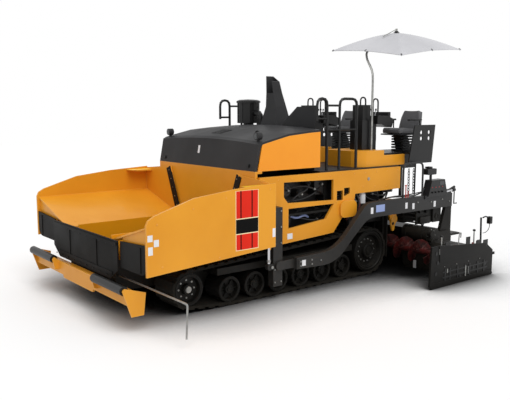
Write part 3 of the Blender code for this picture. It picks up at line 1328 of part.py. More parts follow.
def tow_cylinder(side):
    """Cylinder that sets the tow point's height: barrel, rod and its two eyes."""
    y = side * CYLINDER_Y
    top = GUIDE_TOP - PLATE
    solids = [drum("z", (CYLINDER_X, y), CYLINDER_RADIUS, BARREL_LOW, top - SHEET, 12),
              drum("z", (CYLINDER_X, y), PIN_RADIUS, TOW_Z, BARREL_LOW + PLATE, 10)]
    for z in (top, TOW_Z):
        solids.append(drum("y", (CYLINDER_X, z), CYLINDER_RADIUS, y - CYLINDER_EYE / 2,
                           y + CYLINDER_EYE / 2, 12))
    link = side * (CYLINDER_Y - CYLINDER_EYE / 2 - SHEET / 4)
    solids.append(box(GUIDE_FRONT - SHEET, CYLINDER_X, link, link + side * CYLINDER_EYE / 2,
                      TOW_Z - PLATE, TOW_Z + PLATE))
    return solids


def tow_arm(side, word):
    """Cranked tow arm with the eye that turns beside the guide, and the screed controls on its end."""
    rise = ARM_TOP - ARM_LOW
    tops = []
    lows = []
    for along, top, low in ARM_SHARES:
        x = ARM_FRONT + (ARM_END_X - ARM_FRONT) * along
        tops.append((x, ARM_LOW + rise * top))
        lows.append((x, ARM_LOW + rise * low))
    outline = rounded(tops, ARM_BEND, 2) + rounded(lows, ARM_BEND, 2)[::-1]
    inner = TOW_ARM_OUTER - TOW_ARM_WIDTH
    arm = prism("y", outline, side * inner, side * TOW_ARM_OUTER)
    eye = drum("y", (TOW_X, TOW_Z), GUIDE_WIDTH / 2 - SHEET, side * (GUIDE_OUTER + FIT),
               side * (inner + SHEET))
    neck = box(ARM_FRONT - PLATE, TOW_X, side * (inner - SHEET / 2), side * (inner + SHEET),
               TOW_Z - 2 * PLATE, TOW_Z + 2 * PLATE)
    plate = box(ARM_PLATE_REAR, ARM_FRONT - SHEET, side * (TOW_ARM_OUTER - SHEET),
                side * (TOW_ARM_OUTER + ARM_PLATE_REACH), ARM_LOW + PLATE, ARM_LOW + 5 * PLATE)
    piece("tow_arm_" + word, "arm_grey", [arm, neck, eye, plate, *controls(side), *crank(side)],
          pivot=TOW_PIVOT)


CONTROL_FRONT = -2.290
CONTROL_REAR = -2.800
CONTROL_TOP = 1.440
CONTROL_HALF = 0.070
CONTROL_SHARES = ((0, 0), (1, 0), (0.84, 1), (0.16, 1))
PENDANT_FRONT = -2.280
PENDANT_REAR = -2.510
PENDANT_LOW = 1.530
PENDANT_TOP = 1.630
PENDANT_HALF = 0.050
STEM_X = -2.420
HOOP_REAR = -2.210
HOOP_FRONT = -1.720
HOOP_TOP = 1.740
CYLINDER_ROW = 4 * PIN_RADIUS


def controls(side):
    """Control box, pendant and grab hoop that stand on the end of a tow arm."""
    y = side * (TOW_ARM_OUTER - TOW_ARM_WIDTH / 2)
    low = ARM_TAIL_TOP - SHEET
    box_outline = spread(CONTROL_SHARES, CONTROL_REAR, CONTROL_FRONT, low, CONTROL_TOP)
    return (prism("y", box_outline, y - CONTROL_HALF, y + CONTROL_HALF),
            tube([(STEM_X, y, CONTROL_TOP - SHEET), (STEM_X, y, PENDANT_LOW + SHEET)], PIN_RADIUS),
            prism("y", soft_rectangle(PENDANT_REAR, PENDANT_FRONT, PENDANT_LOW, PENDANT_TOP, SHEET),
                  y - PENDANT_HALF, y + PENDANT_HALF),
            tube([(HOOP_REAR, y, low), (HOOP_REAR, y, HOOP_TOP), (HOOP_FRONT, y, HOOP_TOP),
                  (HOOP_FRONT, y, low)], PIPE_RADIUS * CROSS_PIPE_SHARE, PIPE_BEND))


CRANK_X = -3.090
CRANK_DROP = 0.200
CRANK_GRIP = 0.080
POST_WIDTH = 0.160


def crank(side):
    """Thickness crank on the tow arm's end: screw, handle and head."""
    y = side * (TOW_ARM_OUTER - TOW_ARM_WIDTH / 2)
    top = ARM_TAIL_TOP + FIT
    foot = box(ARM_END_X + SHEET, ARM_END_X + POST_WIDTH, y - PLATE, y + PLATE, top - PLATE, top + 2 * PLATE)
    screw = tube([(ARM_END_X + POST_WIDTH / 2, y, top + PLATE), (CRANK_X, y, top + 3 * PLATE)], PIN_RADIUS)
    handle = tube([(CRANK_X + PLATE, y, top + 3 * PLATE), (CRANK_X, y, top + 3 * PLATE),
                   (CRANK_X, y, top - CRANK_DROP), (CRANK_X - CRANK_GRIP, y, top - CRANK_DROP)],
                  PIN_RADIUS / 2)
    return foot, screw, handle


# Augers

AUGER_STEPS = 12
CORE_SHARE = 0.6
GEARBOX_HALF = 0.110
HANGER_HALF = 0.045
HANGER_Y = 1.195
HANGER_RING_X = -1.830
HANGER_RING_Z = 0.810
HANGER_RING = 0.075
HANGER_TIP = 0.620


def auger(side, word):
    """Screw flight on its shaft, outwards to the left and to the right."""
    turns = (AUGER_OUTER - AUGER_INNER - 2 * AUGER_SHAFT) / AUGER_PITCH
    core = AUGER_SHAFT * CORE_SHARE
    rings = []
    for i in range(int(turns * AUGER_STEPS) + 1):
        angle = side * math.tau * (i + 0.5) / AUGER_STEPS
        y = AUGER_INNER + AUGER_SHAFT + AUGER_PITCH * i / AUGER_STEPS
        across = ((core, y), (AUGER_RADIUS, y), (AUGER_RADIUS, y + AUGER_BLADE), (core, y + AUGER_BLADE))
        rings.append([(AUGER_X + radius * math.cos(angle), side * place, AUGER_Z + radius * math.sin(angle))
                      for radius, place in across])
    shaft = drum("y", (AUGER_X, AUGER_Z), AUGER_SHAFT, side * AUGER_INNER, side * AUGER_OUTER, 12)
    piece("auger_" + word, "auger_red", [shaft, loft(rings)], pivot=(AUGER_X, 0, AUGER_Z), smooth=True)


def auger_mount():
    """Centre gearbox under the tunnel's end, the beam that carries it and the outer hangers."""
    front = FRAME_REAR - FIT
    rear = AUGER_X - 2 * PLATE
    face = AUGER_INNER - FIT
    solids = [box(AUGER_X - GEARBOX_HALF, AUGER_X + GEARBOX_HALF, -face, face, AUGER_Z - GEARBOX_HALF,
                  AUGER_Z + GEARBOX_HALF),
              box(AUGER_X - PLATE, AUGER_X + GEARBOX_HALF - PLATE, -HANGER_HALF, HANGER_HALF, AUGER_Z,
                  TUNNEL_ROOF - PLATE / 2),
              box(rear, front, -HANGER_Y, HANGER_Y, TUNNEL_ROOF - PLATE, ROOF_TOP)]
    for side, word in SIDES:
        inner, outer = side * (HANGER_Y - PLATE), side * HANGER_Y
        arm = [(rear, ROOF_TOP - SHEET / 2), (front - PLATE, ROOF_TOP - SHEET / 2),
               (front - PLATE, TUNNEL_ROOF - 2 * PLATE), (HANGER_RING_X + HANGER_RING, HANGER_RING_Z),
               (HANGER_RING_X + SHEET, HANGER_TIP), (HANGER_RING_X - SHEET, HANGER_TIP),
               (HANGER_RING_X - HANGER_RING, HANGER_RING_Z)]
        solids.append(prism("y", arm, inner, outer))
        solids.append(drum("y", (HANGER_RING_X, HANGER_RING_Z), HANGER_RING, inner,
                           side * (HANGER_Y + SHEET)))
    piece("auger_mount", "body_yellow", solids)


# Screed

SCREED_SLOPE = 0.080
EXTENSION_LAP = 0.300
RAM_X = -2.065
RAM_Z = 0.625
RAM_RADIUS = 0.052
RAM_INNER = SCREED_HALF - 0.280
RAM_OUTER = SCREED_HALF + 0.280
LOW_RAM_Z = 0.520
LOW_RAM_RADIUS = 0.030


def screed():
    """Main screed body with its sole plate, posts to the tow arms and rear walkway."""
    low = SCREED_SOLE
    body = [(SCREED_FRONT, low), (SCREED_REAR, low), (SCREED_REAR, SCREED_TOP - SCREED_SLOPE),
            (SCREED_REAR + SCREED_SLOPE, SCREED_TOP), (SCREED_FRONT, SCREED_TOP)]
    solids = [prism("y", body, -SCREED_HALF, SCREED_HALF),
              box(SCREED_REAR + SHEET, SCREED_FRONT - SHEET, -SCREED_HALF + SHEET, SCREED_HALF - SHEET,
                  0, low + SHEET)]
    for side, word in SIDES:
        post = [(ARM_END_X, SCREED_TOP - 3 * PLATE), (ARM_END_X, ARM_TAIL_LOW - FIT),
                (ARM_END_X + POST_WIDTH, ARM_TAIL_LOW - FIT),
                (ARM_END_X + 2 * POST_WIDTH, SCREED_TOP - 3 * PLATE)]
        solids.append(prism("y", post, side * (SCREED_HALF - 3 * PLATE), side * (SCREED_HALF - PLATE)))
    walkway = box(-MACHINE_REACH, SCREED_REAR + SHEET, -SCREED_HALF + SHEET / 2, SCREED_HALF - SHEET / 2,
                  WALKWAY_TOP - PLATE, WALKWAY_TOP)
    piece("screed", "chassis_black", [*solids, walkway], pivot=TOW_PIVOT)


def extension(side, word):
    """Sliding screed extension in front of the main screed, with its two rams on top."""
    outer = GATE_OUTER - GATE_PLATE - GATE_RIB - FIT
    inner = SCREED_HALF - EXTENSION_LAP
    body = [(EXTENSION_FRONT, SCREED_SOLE), (EXTENSION_REAR, SCREED_SOLE), (EXTENSION_REAR, EXTENSION_TOP),
            (EXTENSION_FRONT - SCREED_SLOPE, EXTENSION_TOP), (EXTENSION_FRONT, EXTENSION_TOP - SCREED_SLOPE)]
    solids = [prism("y", body, side * inner, side * outer),
              box(EXTENSION_REAR + SHEET, EXTENSION_FRONT - SHEET, side * (inner + SHEET),
                  side * (outer - SHEET), 0, SCREED_SOLE + SHEET)]
    for z in (EXTENSION_TOP - 3 * PLATE, SCREED_SOLE + 3 * PLATE):
        solids.append(box(EXTENSION_REAR + SHEET, SCREED_FRONT + FIT, side * (inner + SHEET),
                          side * (outer - SHEET), z - PLATE, z + PLATE))
    solids.append(drum("y", (RAM_X, RAM_Z), RAM_RADIUS, side * RAM_INNER, side * RAM_OUTER, 12))
    solids.append(drum("y", (RAM_X, LOW_RAM_Z), LOW_RAM_RADIUS, side * RAM_INNER, side * RAM_OUTER, 12))
    for y in (RAM_INNER + PLATE, RAM_OUTER - 2 * PLATE):
        cheek = [(EXTENSION_FRONT - SCREED_SLOPE - PLATE, EXTENSION_TOP - SHEET),
                 (RAM_X, EXTENSION_TOP - 2 * SHEET), (RAM_X + SHEET, LOW_RAM_Z), (RAM_X + SHEET, RAM_Z),
                 (EXTENSION_FRONT - SCREED_SLOPE, RAM_Z)]
        solids.append(prism("y", cheek, side * y, side * (y + SHEET)))
    piece("extension_" + word, "chassis_black", solids, pivot=(EXTENSION_REAR, 0, EXTENSION_TOP))


GATE_SHARES = (
    # share of the length from the rear, share of the height
    (0, 0.03), (0.02, 0), (0.96, 0), (1, 0.07), (0.985, 1), (0.875, 1), (0.12, 0.83), (0, 0.62),
)
GATE_BEAM_SHARES = ((0.12, 0.83), (0.14, 0.63), (0.86, 0.60), (0.875, 1))
GATE_SHOE_SHARES = ((0, 0.03), (0.02, 0), (0.96, 0), (1, 0.07), (0.97, 0.14), (0.02, 0.12))
GATE_FRAME_SHARES = ((0.955, 0.10), (0.997, 0.10), (0.985, 1), (0.945, 1))
GATE_POST_X = -2.400
GATE_POST_TOP = 0.940
GATE_POST_LOW = 0.500
GATE_POST_RADIUS = 0.014
GATE_PIN_Z = 0.330


def end_gate(side, word):
    """End gate: plate with its raised beam, shoe and front frame, an adjuster post and the rear pin."""
    frame = (GATE_REAR, GATE_FRONT, 0, GATE_TOP)
    ribbed = GATE_OUTER - GATE_RIB
    solids = [prism("y", spread(GATE_SHARES, *frame), side * (ribbed - GATE_PLATE), side * ribbed)]
    for shares in (GATE_BEAM_SHARES, GATE_SHOE_SHARES, GATE_FRAME_SHARES):
        solids.append(prism("y", spread(shares, *frame), side * (ribbed - GATE_RIB), side * GATE_OUTER))
    post = side * (GATE_OUTER - GATE_POST_RADIUS)
    solids.append(tube([(GATE_POST_X - SHEET, post, GATE_POST_LOW), (GATE_POST_X, post, GATE_POST_TOP)],
                       GATE_POST_RADIUS))
    solids.append(box(GATE_REAR - 2 * PLATE, GATE_REAR + PLATE, side * (ribbed - GATE_PLATE), side * ribbed,
                      GATE_PIN_Z - SHEET, GATE_PIN_Z + SHEET))
    piece("end_gate_" + word, "arm_grey", solids, pivot=(EXTENSION_REAR, 0, EXTENSION_TOP))


def build():
    clear_scene()
    main_frame()
    conveyor()
    engine_block()
    hopper_bulkhead()
    platform_deck()
    hood_shell()
    rear_cowl()
    exhaust_stack()
    pre_cleaner()
    umbrella()
    front_apron()
    push_bar()
    guide_rod()
    auger_mount()
    screed()
    makers = (track_belt, track_frame, roller_set, end_wheels, hopper_guard, side_panel, hood_side, handrail,
              station, console, seat, wing, push_roller, tow_guide, tow_arm, auger, extension, end_gate)
    for make in makers:
        for side, word in SIDES:
            make(side, word)


build()
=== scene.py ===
"""Looks of the tracked asphalt paver: finishes, fittings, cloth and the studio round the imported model."""
import json
import math

import bpy
from bpy.props import FloatProperty, FloatVectorProperty, PointerProperty
from mathutils import Matrix, Vector


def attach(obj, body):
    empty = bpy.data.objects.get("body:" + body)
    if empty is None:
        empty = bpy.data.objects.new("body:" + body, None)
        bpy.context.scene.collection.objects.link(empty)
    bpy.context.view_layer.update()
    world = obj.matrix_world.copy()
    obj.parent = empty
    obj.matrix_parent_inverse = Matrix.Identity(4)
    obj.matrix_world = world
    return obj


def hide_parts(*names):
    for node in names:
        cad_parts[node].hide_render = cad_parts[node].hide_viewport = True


bl_info = {
    "name": "Asphalt Paver Looks",
    "version": (1, 0, 0),
    "blender": (4, 5, 0),
    "location": "3D View > Sidebar > Paver",
    "description": "Finishes and fittings of a tracked asphalt paver",
    "category": "Object",
}

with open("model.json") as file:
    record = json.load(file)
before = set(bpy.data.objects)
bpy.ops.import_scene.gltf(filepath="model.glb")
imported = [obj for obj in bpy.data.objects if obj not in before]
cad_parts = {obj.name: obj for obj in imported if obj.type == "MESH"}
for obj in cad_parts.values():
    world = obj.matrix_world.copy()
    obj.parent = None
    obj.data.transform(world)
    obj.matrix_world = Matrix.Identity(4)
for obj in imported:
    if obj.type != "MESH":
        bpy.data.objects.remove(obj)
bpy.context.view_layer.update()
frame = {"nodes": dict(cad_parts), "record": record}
SIDES = ((1, "left"), (-1, "right"))
MM = 0.001
X_AXIS = Vector((1, 0, 0))
OUT = Vector((0, 1, 0))          # away from the machine on its left
UP = Vector((0, 0, 1))


# Colours, nodes and finishes

def srgb(code):
    """Linear colour of an sRGB hex value."""
    channels = [int(code[i:i + 2], 16) / 255 for i in (0, 2, 4)]
    return [c / 12.92 if c <= 0.04045 else ((c + 0.055) / 1.055) ** 2.4 for c in channels] + [1.0]


def node(tree, kind, settings=None, links=None):
    """Add a node, set its fields or inputs, and link its inputs from other nodes' outputs."""
    made = tree.nodes.new(kind)
    for name, value in (settings or {}).items():
        if isinstance(name, int) or name in made.inputs:
            made.inputs[name].default_value = value
        else:
            setattr(made, name, value)
    for name, (source, output) in (links or {}).items():
        tree.links.new(source.outputs[output], made.inputs[name])
    return made


def remap(tree, source, before=(0.0, 1.0), after=(0.0, 1.0)):
    """Carry a node's output from one range over to another."""
    return node(tree, "ShaderNodeMapRange", {"From Min": before[0], "From Max": before[1],
                                             "To Min": after[0], "To Max": after[1]}, {"Value": source})


def combined(tree, operation, first, second):
    """One value out of two nodes' outputs."""
    return node(tree, "ShaderNodeMath", {"operation": operation}, {0: first, 1: second})


DUST = "9A8E78"
DUST_HEIGHTS = 0.1, 1.4          # Z up to which the dust is full, and Z where it ends
DUST_SPECKS = 11.0               # scale of the specks in it
EDGE_WEAR_AND_HIGHLIGHT_WIDTH = 0.007               # reach of the paler edge, partly rubbed wear and partly painted highlight, from an edge
EDGE_WEAR_AND_HIGHLIGHT_TURN = 0.99, 0.85           # cosine of an edge's turn where the paler edge (rubbed wear and painted highlight) starts, and where it is full
EDGE_WEAR_AND_HIGHLIGHT_MOST = 0.6                  # share of the paler colour on a full edge
WAVE_PERIOD = 0.314              # metres from band to band of a wave texture at scale 1
FINISHES = {
    # two-pack enamel sprayed on sheet steel: orange peel, slight fading, paler edges that are partly rubbed wear and
    # partly a painted highlight, dust low down
    "body_enamel": dict(colour="E29A26", second="D88F1E", dust=0.10, edge_wear_and_highlight="F2C878", coat=0.08, shine=0.22),
    "hopper_enamel": dict(colour="F2A212", second="E29610", dust=0.08, edge_wear_and_highlight="F2C878", shine=0.15,
                          rough=(0.45, 0.62)),
    "hood_enamel": dict(colour="F39A0B", second="EC9008", edge_wear_and_highlight="F7B850", coat=0.15, shine=0.4),
    # the body enamel made brighter: painted highlight for the lit tops of the wings' ledges
    "ledge_painted_highlight": dict(colour="F8C82A", second="F4BE22", shine=0.4),
    "hood_charcoal": dict(colour="333334", second="2D2D2E", edge_wear_and_highlight="4A4A4A", shine=0.12, rough=(0.46, 0.60)),
    "arm_charcoal": dict(colour="242425", second="1D1D1E", dust=0.08, edge_wear_and_highlight="484844", shine=0.3),
    "chassis_enamel": dict(colour="0C0C0C", second="080808", dust=0.07, edge_wear_and_highlight="24231F", rough=(0.45, 0.62),
                           shine=0.2),
    "gate_enamel": dict(colour="0C0C0C", second="080808", dust=0.02, edge_wear_and_highlight="30302E", shine=0.15),
    "wheel_enamel": dict(colour="0B0B0B", second="080808", dust=0.04, edge_wear_and_highlight="22221F", rough=(0.42, 0.60), shine=0.2),
    # polyester powder baked on tube: fine even texture, satin sheen
    "rail_powder": dict(colour="0C0C0C", second="101010", size=2.5, height=0.15, rough=(0.36, 0.44), shine=0.35),
    # track rubber moulded over cord: matt, faintly pitted, grey with dust
    "tread_rubber": dict(colour="0C0C0C", second="121110", pattern="cast", size=9, height=0.5, dust=0.07,
                         rough=(0.75, 0.90), shine=0.15),
    # belt rubber sheet: fine grain, a little shine where it bends
    "sheet_rubber": dict(colour="080808", second="0C0B0B", pattern="cast", size=5, height=0.3, dust=0.03,
                         rough=(0.50, 0.70), shine=0.15),
    # braided hose under a smooth extruded cover
    "hose_rubber": dict(colour="0C0C0D", second="141416", pattern="cast", size=4, height=0.1,
                        rough=(0.25, 0.40), shine=0.5),
    # auger castings: red-brown paint worn to dark steel by the mix
    "auger_casting": dict(colour="4A1210", second="1E100E", metallic=0.35, pattern="cast", size=12, height=0.8,
                          cloud=90, edge_wear_and_highlight="5E3A34", rough=(0.45, 0.70), shine=0.3),
    # expanded vinyl pressed with a leather grain, drawn coarser than the real 1 mm so that it shows
    "seat_vinyl": dict(colour="5E5E60", second="505052", pattern="grain", size=6, height=0.5, rough=(0.50, 0.68),
                       shine=0.4),
    # polyester cloth with a coated face: threads about 0.5 mm apart, drawn at 7 mm so that they show
    "coated_cloth": dict(colour="C8C8CC", second="BCBCC0", pattern="weave", size=7, height=0.25,
                         rough=(0.75, 0.9), sheen=0.2),
    # hot-dipped zinc: soft mottled spangle
    "galvanised_steel": dict(colour="A8A8A4", second="8E8E8C", metallic=1.0, pattern="cast", size=14, height=0.05,
                             cloud=60, rough=(0.32, 0.50)),
    # ground and chromed rod: mirror bright with faint rings
    "chromed_rod": dict(colour="D8D8DA", second="C8C8CC", metallic=1.0, pattern="brushed", size=2, height=0.02,
                        rough=(0.06, 0.14)),
    # rolled plate with raised lozenges 28 mm long, drawn at 60 mm so that they show
    "tread_plate": dict(colour="121212", second="0E0E0E", pattern="tread", size=60, height=2.0, dust=0.1,
                        rough=(0.42, 0.60), shine=0.4),
    # cut vinyl film with a satin top coat
    "film_red": dict(colour="DC2A18", second="D22414", size=8, height=0.05, rough=(0.40, 0.50), shine=0.12),
    "film_black": dict(colour="060606", second="080808", size=8, height=0.05, rough=(0.38, 0.46), shine=0.08),
    "film_blue": dict(colour="93A4D2", second="8698C8", size=8, height=0.05, rough=(0.30, 0.42)),
    "film_cream": dict(colour="F3E2B4", second="EEDCAC", size=8, height=0.05, rough=(0.32, 0.42)),
    "film_white": dict(colour="E6E6E8", second="DADADC", size=8, height=0.05, rough=(0.30, 0.42)),
    # moulded lamp lens: fine ribs under a wet gloss
    "lamp_red": dict(colour="C41410", second="A01010", pattern="brushed", size=8, height=0.6,
                     rough=(0.10, 0.20), coat=0.8),
    # black plastic moulded with a fine spark-eroded texture
    "moulded_plastic": dict(colour="101011", second="151516", pattern="cast", size=2, height=0.1,
                            rough=(0.45, 0.58), shine=0.3),
    # glass over a dark screen or lamp: near black with a hard highlight
    "screen_glass": dict(colour="0A1014", second="0E161C", size=30, height=0.02, rough=(0.05, 0.10), coat=0.6),
    # engine bay enamel under a film of oil and dust
    "oily_enamel": dict(colour="0B0B0B", second="171513", pattern="cast", size=20, height=0.6, cloud=120,
                        rough=(0.30, 0.60), shine=0.4),
    # primer on cylinders and clamps: dull brown red
    "primer_red": dict(colour="6E2218", second="541A12", rough=(0.42, 0.60)),
    # marking paint: brighter red than the primer
    "signal_red": dict(colour="C8301C", second="B02816", rough=(0.35, 0.50)),
}
SLOT_FINISHES = {
    "body_yellow": "body_enamel", "hopper_yellow": "hopper_enamel", "hood_yellow": "hood_enamel",
    "hood_grey": "hood_charcoal", "arm_grey": "arm_charcoal", "chassis_black": "chassis_enamel",
    "track_rubber": "tread_rubber", "wheel_black": "wheel_enamel", "auger_red": "auger_casting",
    "seat_grey": "seat_vinyl", "rail_black": "rail_powder", "canopy_cloth": "coated_cloth",
    "steel": "galvanised_steel",
}
# a slot's name and the finish for the fittings
STEEL = "steel", "galvanised_steel"
CHROME = "steel", "chromed_rod"
POWDER = "rail_black", "rail_powder"
PLASTIC = "rail_black", "moulded_plastic"
GLASS = "rail_black", "screen_glass"
HOSE = "rail_black", "hose_rubber"
BLACK = "chassis_black", "chassis_enamel"
WHEEL = "wheel_black", "wheel_enamel"
YELLOW = "body_yellow", "body_enamel"
WHITE = "canopy_cloth", "film_white"
PRIMER = "auger_red", "primer_red"
LAMP = "auger_red", "lamp_red"
CLOTH = "canopy_cloth", "coated_cloth"
NODE_FINISHES = {
    "front_apron": "sheet_rubber", "apron_flap_left": "sheet_rubber", "apron_flap_right": "sheet_rubber",
    "platform_deck": "tread_plate", "wing_left": "body_enamel", "wing_right": "body_enamel",
    "end_gate_left": "gate_enamel", "end_gate_right": "gate_enamel",
}


def relief(tree, place, pattern, size):
    """Height of a surface pattern that repeats every size millimetres: (node, output)."""
    scale = 1000 / size
    here = {"Vector": (place, "Object")}
    if pattern == "grain":
        return node(tree, "ShaderNodeTexVoronoi", {"Scale": scale, "feature": "DISTANCE_TO_EDGE"}, here), "Distance"
    if pattern == "cast":
        return node(tree, "ShaderNodeTexNoise", {"Scale": scale, "Detail": 5.0}, here), 0
    if pattern == "brushed":
        return node(tree, "ShaderNodeTexWave",
                    {"Scale": WAVE_PERIOD * scale, "Distortion": 0.4, "bands_direction": "Z"}, here), "Fac"
    if pattern in ("weave", "tread"):
        turned_by = math.radians(45) if pattern == "tread" else 0.0
        grid = node(tree, "ShaderNodeMapping", {"Rotation": (0, 0, turned_by)}, here)
        warp, weft = [node(tree, "ShaderNodeTexWave", {"Scale": WAVE_PERIOD * scale, "bands_direction": axis},
                           {"Vector": (grid, 0)}) for axis in "XY"]
        kind = "MULTIPLY" if pattern == "tread" else "MAXIMUM"
        both = combined(tree, kind, (warp, "Fac"), (weft, "Fac"))
        if pattern == "weave":
            return both, 0
        return remap(tree, (both, 0), (0.45, 0.65)), 0
    return node(tree, "ShaderNodeTexNoise", {"Scale": scale, "Detail": 1.0}, here), 0


def make_finish(name, colour, second, metallic=0.0, rough=(0.34, 0.48), cloud=900, pattern="peel", size=5.0,
                height=0.10, dust=0.0, edge_wear_and_highlight=None, coat=0.0, sheen=0.0, shine=0.5):
    """Finish of two close tones, a relief, dust that gathers low down, and edges turned to a paler colour, partly as
    rubbed wear and partly as a painted highlight.
    """
    made = bpy.data.materials.new(name)
    made.use_nodes = True
    tree = made.node_tree
    tree.nodes.clear()
    place = node(tree, "ShaderNodeTexCoord")
    here = {"Vector": (place, "Object")}
    noise = node(tree, "ShaderNodeTexNoise", {"Scale": 1000 / cloud, "Detail": 4.0}, here)
    cloudy = remap(tree, (noise, 0), (0.35, 0.65))
    tone = node(tree, "ShaderNodeMix", {"data_type": "RGBA", 6: srgb(colour), 7: srgb(second)}, {0: (cloudy, 0)})
    if dust:
        split = node(tree, "ShaderNodeSeparateXYZ", None, {0: (place, "Object")})
        low = remap(tree, (split, "Z"), DUST_HEIGHTS, (dust, 0.0))
        speck = node(tree, "ShaderNodeTexNoise", {"Scale": DUST_SPECKS, "Detail": 6.0}, here)
        amount = combined(tree, "MULTIPLY", (low, 0), (speck, 0))
        tone = node(tree, "ShaderNodeMix", {"data_type": "RGBA", 7: srgb(DUST)}, {0: (amount, 0), 6: (tone, 2)})
    # edges turn paler: partly rubbed wear, partly a painted highlight along each edge
    if edge_wear_and_highlight:
        soft = node(tree, "ShaderNodeBevel", {"samples": 4, "Radius": EDGE_WEAR_AND_HIGHLIGHT_WIDTH})
        flat = node(tree, "ShaderNodeNewGeometry")
        agree = node(tree, "ShaderNodeVectorMath", {"operation": "DOT_PRODUCT"}, {0: (soft, 0), 1: (flat, "Normal")})
        edge = remap(tree, (agree, "Value"), EDGE_WEAR_AND_HIGHLIGHT_TURN, (0.0, EDGE_WEAR_AND_HIGHLIGHT_MOST))
        tone = node(tree, "ShaderNodeMix", {"data_type": "RGBA", 7: srgb(edge_wear_and_highlight)}, {0: (edge, 0), 6: (tone, 2)})
    high, output = relief(tree, place, pattern, size)
    bump = node(tree, "ShaderNodeBump", {"Strength": 0.7, "Distance": height * MM}, {"Height": (high, output)})
    gloss = remap(tree, (cloudy, 0), after=rough)
    shader = node(tree, "ShaderNodeBsdfPrincipled",
                  {"Metallic": metallic, "Coat Weight": coat, "Coat Roughness": 0.12, "Sheen Weight": sheen,
                   "Specular IOR Level": shine},
                  {"Base Color": (tone, 2), "Roughness": (gloss, 0), "Normal": (bump, 0)})
    node(tree, "ShaderNodeOutputMaterial", None, {"Surface": (shader, 0)})
    return made


# Modelling

def only(thing):
    """Select one object and make it active."""
    bpy.ops.object.select_all(action="DESELECT")
    thing.select_set(True)
    bpy.context.view_layer.objects.active = thing
    return thing


def settle(thing):
    """Put an object's place, turn and scale into its mesh."""
    only(thing)
    bpy.ops.object.transform_apply(location=True, rotation=True, scale=True)
    return thing


def pick(thing, test):
    """Select the faces that pass the test, in edit mode."""
    only(thing)
    bpy.ops.object.mode_set(mode="EDIT")
    bpy.ops.mesh.select_mode(type="FACE")
    bpy.ops.mesh.select_all(action="DESELECT")
    bpy.ops.object.mode_set(mode="OBJECT")
    for face in thing.data.polygons:
        face.select = test(face)
    bpy.ops.object.mode_set(mode="EDIT")


def block(low, high, round_mm=3.0, segments=1):
    """Plate or box between two corners, its edges rounded."""
    bpy.ops.object.select_all(action="DESELECT")
    middle = [(a + b) / 2 for a, b in zip(low, high)]
    size = [abs(b - a) for a, b in zip(low, high)]
    bpy.ops.mesh.primitive_cube_add(size=1, location=middle, scale=size)
    made = settle(bpy.context.active_object)
    bpy.ops.object.mode_set(mode="EDIT")
    bpy.ops.mesh.select_all(action="SELECT")
    bpy.ops.mesh.bevel(offset=min(round_mm * MM, 0.4 * min(size)), segments=segments, affect="EDGES")
    bpy.ops.object.mode_set(mode="OBJECT")
    return made


def stepped(centre, axis, radius, depth, steps=(), sides=16):
    """Round part grown from its end face: each step insets the face by a width, then moves it by a height."""
    bpy.ops.object.select_all(action="DESELECT")
    axis = Vector(axis).normalized()
    bpy.ops.mesh.primitive_cylinder_add(vertices=sides, radius=radius, depth=depth,
                                        location=Vector(centre) + axis * depth / 2,
                                        rotation=axis.to_track_quat("Z", "Y").to_euler())
    made = settle(bpy.context.active_object)
    pick(made, lambda face: face.normal.dot(axis) > 0.99)
    for width, height in steps:
        if width:
            bpy.ops.mesh.inset(thickness=width, depth=0.0)
        if height:
            bpy.ops.mesh.extrude_region_move(TRANSFORM_OT_translate={"value": axis * height})
    bpy.ops.object.mode_set(mode="OBJECT")
    return made


def pipe(points, radius, sides=8, soft=True):
    """Bent pipe, rod or line through points, its ends closed."""
    bpy.ops.object.select_all(action="DESELECT")
    bpy.ops.curve.primitive_bezier_curve_add(location=(0, 0, 0))
    thing = bpy.context.active_object
    line = thing.data.splines[0]
    line.bezier_points.add(len(points) - 2)
    for knot, place in zip(line.bezier_points, points):
        knot.co = place
        knot.handle_left_type = knot.handle_right_type = "AUTO" if soft else "VECTOR"
    thing.data.dimensions = "3D"
    thing.data.resolution_u = 6 if soft else 1
    thing.data.bevel_depth = radius
    thing.data.bevel_resolution = max(0, (sides - 4) // 2)
    thing.data.use_fill_caps = True
    bpy.ops.object.convert(target="MESH")
    return cleaned(bpy.context.active_object)


def cleaned(thing):
    """Merge doubled points and turn every face outwards."""
    only(thing)
    bpy.ops.object.mode_set(mode="EDIT")
    bpy.ops.mesh.select_all(action="SELECT")
    bpy.ops.mesh.remove_doubles(threshold=0.01 * MM)
    bpy.ops.mesh.normals_make_consistent(inside=False)
    bpy.ops.object.mode_set(mode="OBJECT")
    return thing


def copied(thing, matrix):
    """Copy with its own mesh, moved by a matrix."""
    made = thing.copy()
    made.data = thing.data.copy()
    bpy.context.collection.objects.link(made)
    made.data.transform(matrix)
    return made


def scattered(thing, places):
    """The thing itself is used up; one copy stands at each place."""
    made = [copied(thing, Matrix.Translation(place)) for place in places]
    bpy.data.objects.remove(thing)
    return made


def mirrored(thing):
    """Copy on the machine's other side."""
    made = copied(thing, Matrix.Scale(-1, 4, OUT))
    made.data.flip_normals()
    return made


def fit(parts, name, body, slot, finish, angle=35):
    """Join the parts into one named piece with its finish, on a body."""
    bpy.ops.object.select_all(action="DESELECT")
    for part in parts:
        part.select_set(True)
    bpy.context.view_layer.objects.active = parts[0]
    if len(parts) > 1:
        bpy.ops.object.join()
    made = bpy.context.active_object
    made.name = made.data.name = name
    made.data.materials.clear()
    made.data.materials.append(bpy.data.materials[finish])
    bpy.ops.object.shade_smooth_by_angle(angle=math.radians(angle))
    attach(made, body)
    return made


